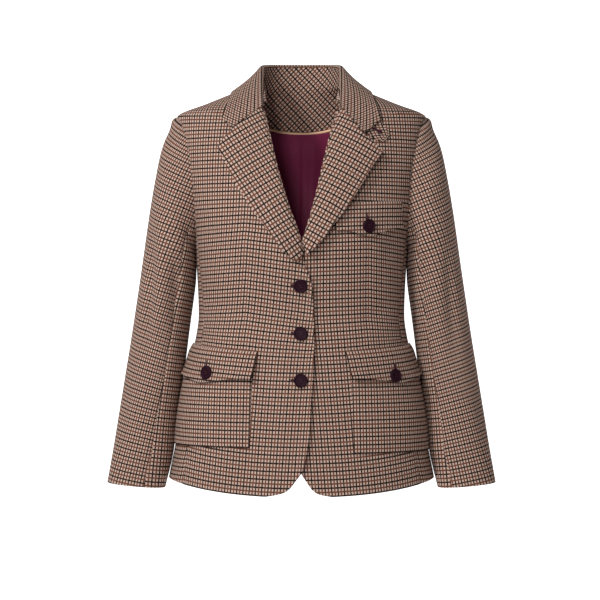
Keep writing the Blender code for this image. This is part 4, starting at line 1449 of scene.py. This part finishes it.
def check_group():
    """Gun-club check: black and brown bands on cream, woven in a twill, with its thread relief."""
    group, nodes, start, end = new_group(
        "gun_club_check",
        [("Cut", "NodeSocketVector"), ("Cream", "NodeSocketColor"), ("Brown", "NodeSocketColor"),
         ("Black", "NodeSocketColor")],
        [("Color", "NodeSocketColor"), ("Height", "NodeSocketFloat")],
    )
    wander = nodes.add("ShaderNodeTexNoise", Vector=start.outputs["Cut"], Scale=WANDER_SCALE, Detail=1.0)
    shake = nodes.add("ShaderNodeVectorMath", {"operation": "SCALE"}, Scale=WANDER)
    nodes.join(wander.outputs["Color"], shake.inputs[0])
    moved = nodes.add("ShaderNodeVectorMath", {"operation": "ADD"})
    nodes.join(start.outputs["Cut"], moved.inputs[0])
    nodes.join(shake.outputs[0], moved.inputs[1])
    place = nodes.add("ShaderNodeSeparateXYZ", Vector=moved.outputs[0])
    u, v = place.outputs["X"], place.outputs["Y"]
    colours, darks, counts, rounds = [], [], [], []
    for spot, thread, bands in ((u, WARP_THREAD, WARP_BANDS), (v, WEFT_THREAD, WEFT_BANDS)):
        black, brown = stripe(nodes, spot, thread, *bands)
        with_brown = nodes.blend(brown, start.outputs["Cream"], start.outputs["Brown"])
        colours.append(nodes.blend(black, with_brown, start.outputs["Black"]))
        darks.append(nodes.math("ADD", black, brown))
        threads = nodes.math("DIVIDE", spot, thread)
        counts.append(nodes.math("FLOOR", threads))
        rounds.append(nodes.math("SINE", nodes.math("MULTIPLY", nodes.math("FRACT", threads), pi)))
    lift = nodes.math("FRACT", nodes.math("DIVIDE", nodes.math("ADD", *counts), TWILL_STEPS))
    share = nodes.math("MULTIPLY_ADD", darks[0], DARK_WARP_MORE, WARP_SHARE)
    share = nodes.math("MULTIPLY_ADD", darks[1], -DARK_WEFT_MORE, share)
    weft_up = nodes.math("GREATER_THAN", lift, share)
    woven = nodes.blend(weft_up, *colours)
    warp_up = nodes.math("SUBTRACT", 1.0, weft_up)
    height = nodes.math("MULTIPLY_ADD", rounds[0], warp_up, nodes.math("MULTIPLY", rounds[1], weft_up))
    fibre = nodes.add("ShaderNodeTexNoise", Vector=start.outputs["Cut"], Scale=FIBRE_SCALE, Detail=2.0)
    fleck = nodes.math("MULTIPLY_ADD", fibre.outputs["Fac"], FLECK, FLECK_FROM)
    shaded = nodes.add("ShaderNodeVectorMath", {"operation": "SCALE"})
    nodes.join(woven, shaded.inputs[0])
    nodes.join(fleck, shaded.inputs["Scale"])
    nodes.join(shaded.outputs[0], end.inputs["Color"])
    nodes.join(nodes.math("ADD", height, fibre.outputs["Fac"]), end.inputs["Height"])
    return group


def plain_material(name, colour, roughness, **more):
    material = bpy.data.materials.new(name)
    material.use_nodes = True
    shader = material.node_tree.nodes["Principled BSDF"]
    shader.inputs["Base Color"].default_value = (*colour, 1.0)
    shader.inputs["Roughness"].default_value = roughness
    for label, value in more.items():
        shader.inputs[label.replace("_", " ")].default_value = value
    return material


def tweed_material(check):
    material = plain_material(
        "tweed", CREAM, 0.95, Sheen_Weight=0.03, Sheen_Roughness=0.5, Specular_IOR_Level=0.1
    )
    nodes = Nodes(material.node_tree)
    shader = material.node_tree.nodes["Principled BSDF"]
    cut = nodes.add("ShaderNodeUVMap", {"uv_map": "cut"})
    weave = nodes.add(
        "ShaderNodeGroup", {"node_tree": check}, Cut=cut.outputs["UV"],
        Cream=(*CREAM, 1.0), Brown=(*BROWN, 1.0), Black=(*BLACK, 1.0),
    )
    relief = weave.outputs["Height"]
    bump = nodes.add("ShaderNodeBump", Height=relief, Strength=WEAVE_BUMP, Distance=WEAVE_DEPTH)
    nodes.join(weave.outputs["Color"], shader.inputs["Base Color"])
    nodes.join(bump.outputs["Normal"], shader.inputs["Normal"])
    return material


def make_looks():
    return Looks(
        tweed=tweed_material(check_group()),
        lining=plain_material("lining", PLUM, 0.45, Specular_IOR_Level=0.12),
        piping=plain_material("piping", TAN, 0.5),
        button=plain_material("button", HORN, 0.5, Specular_IOR_Level=0.12),
        thread=plain_material("thread", THREAD, 0.6),
        # near-black painted shade for holes, slits and eyelets
        dark=plain_material("dark", HOLE_SHADE, 0.9),
    )


# Floor, light and camera


def backdrop():
    """Pale floor that curves up into a wall behind the jacket."""
    curve_from = WALL_BACK - WALL_CURVE
    profile = [Vector((0.0, y, FLOOR_HEIGHT)) for y in spread(-FLOOR_REACH, curve_from, FLOOR_STEPS)]
    for turn in spread(0.0, pi / 2, CURVE_STEPS)[1:]:
        back, up = WALL_CURVE * sin(turn), WALL_CURVE * (1 - cos(turn))
        profile.append(Vector((0.0, curve_from + back, FLOOR_HEIGHT + up)))
    profile.append(Vector((0.0, WALL_BACK, WALL_TOP)))
    bm = bmesh.new()
    reach = Vector((FLOOR_REACH, 0.0, 0.0))
    left = [bm.verts.new(point - reach) for point in profile]
    right = [bm.verts.new(point + reach) for point in profile]
    for i in range(len(profile) - 1):
        bm.faces.new((left[i], right[i], right[i + 1], left[i + 1]))
    made("backdrop", bm, backdrop_material())


def backdrop_material():
    """Pale floor that turns to bright white behind the jacket."""
    material = plain_material("backdrop", PALE, 0.9, Emission_Strength=BACKDROP_GLOW)
    nodes = Nodes(material.node_tree)
    place = nodes.add("ShaderNodeSeparateXYZ", Vector=nodes.add("ShaderNodeTexCoord").outputs["Object"])
    glow = nodes.add("ShaderNodeMapRange", {"interpolation_type": "SMOOTHSTEP"}, Value=place.outputs["Y"])
    glow.inputs["From Min"].default_value = GLOW_FROM
    glow.inputs["From Max"].default_value = GLOW_FULL
    nodes.join(glow.outputs["Result"], material.node_tree.nodes["Principled BSDF"].inputs["Emission Color"])
    return material


def light(name, place, target, size, power):
    lamp = bpy.data.lights.new(name, "AREA")
    lamp.size = size
    lamp.energy = power
    obj = bpy.data.objects.new(name, lamp)
    obj.location = place
    obj.rotation_mode = "QUATERNION"
    obj.rotation_quaternion = (Vector(target) - Vector(place)).to_track_quat("-Z", "Y")
    bpy.context.collection.objects.link(obj)


def studio():
    scene = bpy.context.scene
    backdrop()
    for lamp in LAMPS:
        light(lamp.name, lamp.place, (0.0, 0.0, CAMERA_HEIGHT), lamp.size, lamp.power)
    world = bpy.data.worlds.new("studio")
    world.use_nodes = True
    world.node_tree.nodes["Background"].inputs["Color"].default_value = (1.0, 1.0, 1.0, 1.0)
    world.node_tree.nodes["Background"].inputs["Strength"].default_value = WORLD_STRENGTH
    scene.world = world
    scene.view_settings.view_transform = "Standard"
    camera = bpy.data.cameras.new("camera")
    camera.lens = CAMERA_LENS
    obj = bpy.data.objects.new("camera", camera)
    obj.location = (CAMERA_ACROSS, -CAMERA_DISTANCE, CAMERA_HEIGHT)
    obj.rotation_euler = (pi / 2, 0.0, 0.0)
    bpy.context.collection.objects.link(obj)
    scene.camera = obj


def make_scene():
    looks = make_looks()
    for name in SIDES:
        front_panel(name, looks)
        side_panel(name, looks)
        back_panel(name, looks)
        sleeve(name, looks)
        lapel(name, looks)
        pocket(name, looks)
        flap(name, looks)
    collar(looks)
    neck_facing(looks)
    neck_piping(looks)
    back_lining(looks)
    chest_flap(looks)
    throat_tab(looks)
    buttons(looks)
    studio()


make_scene()
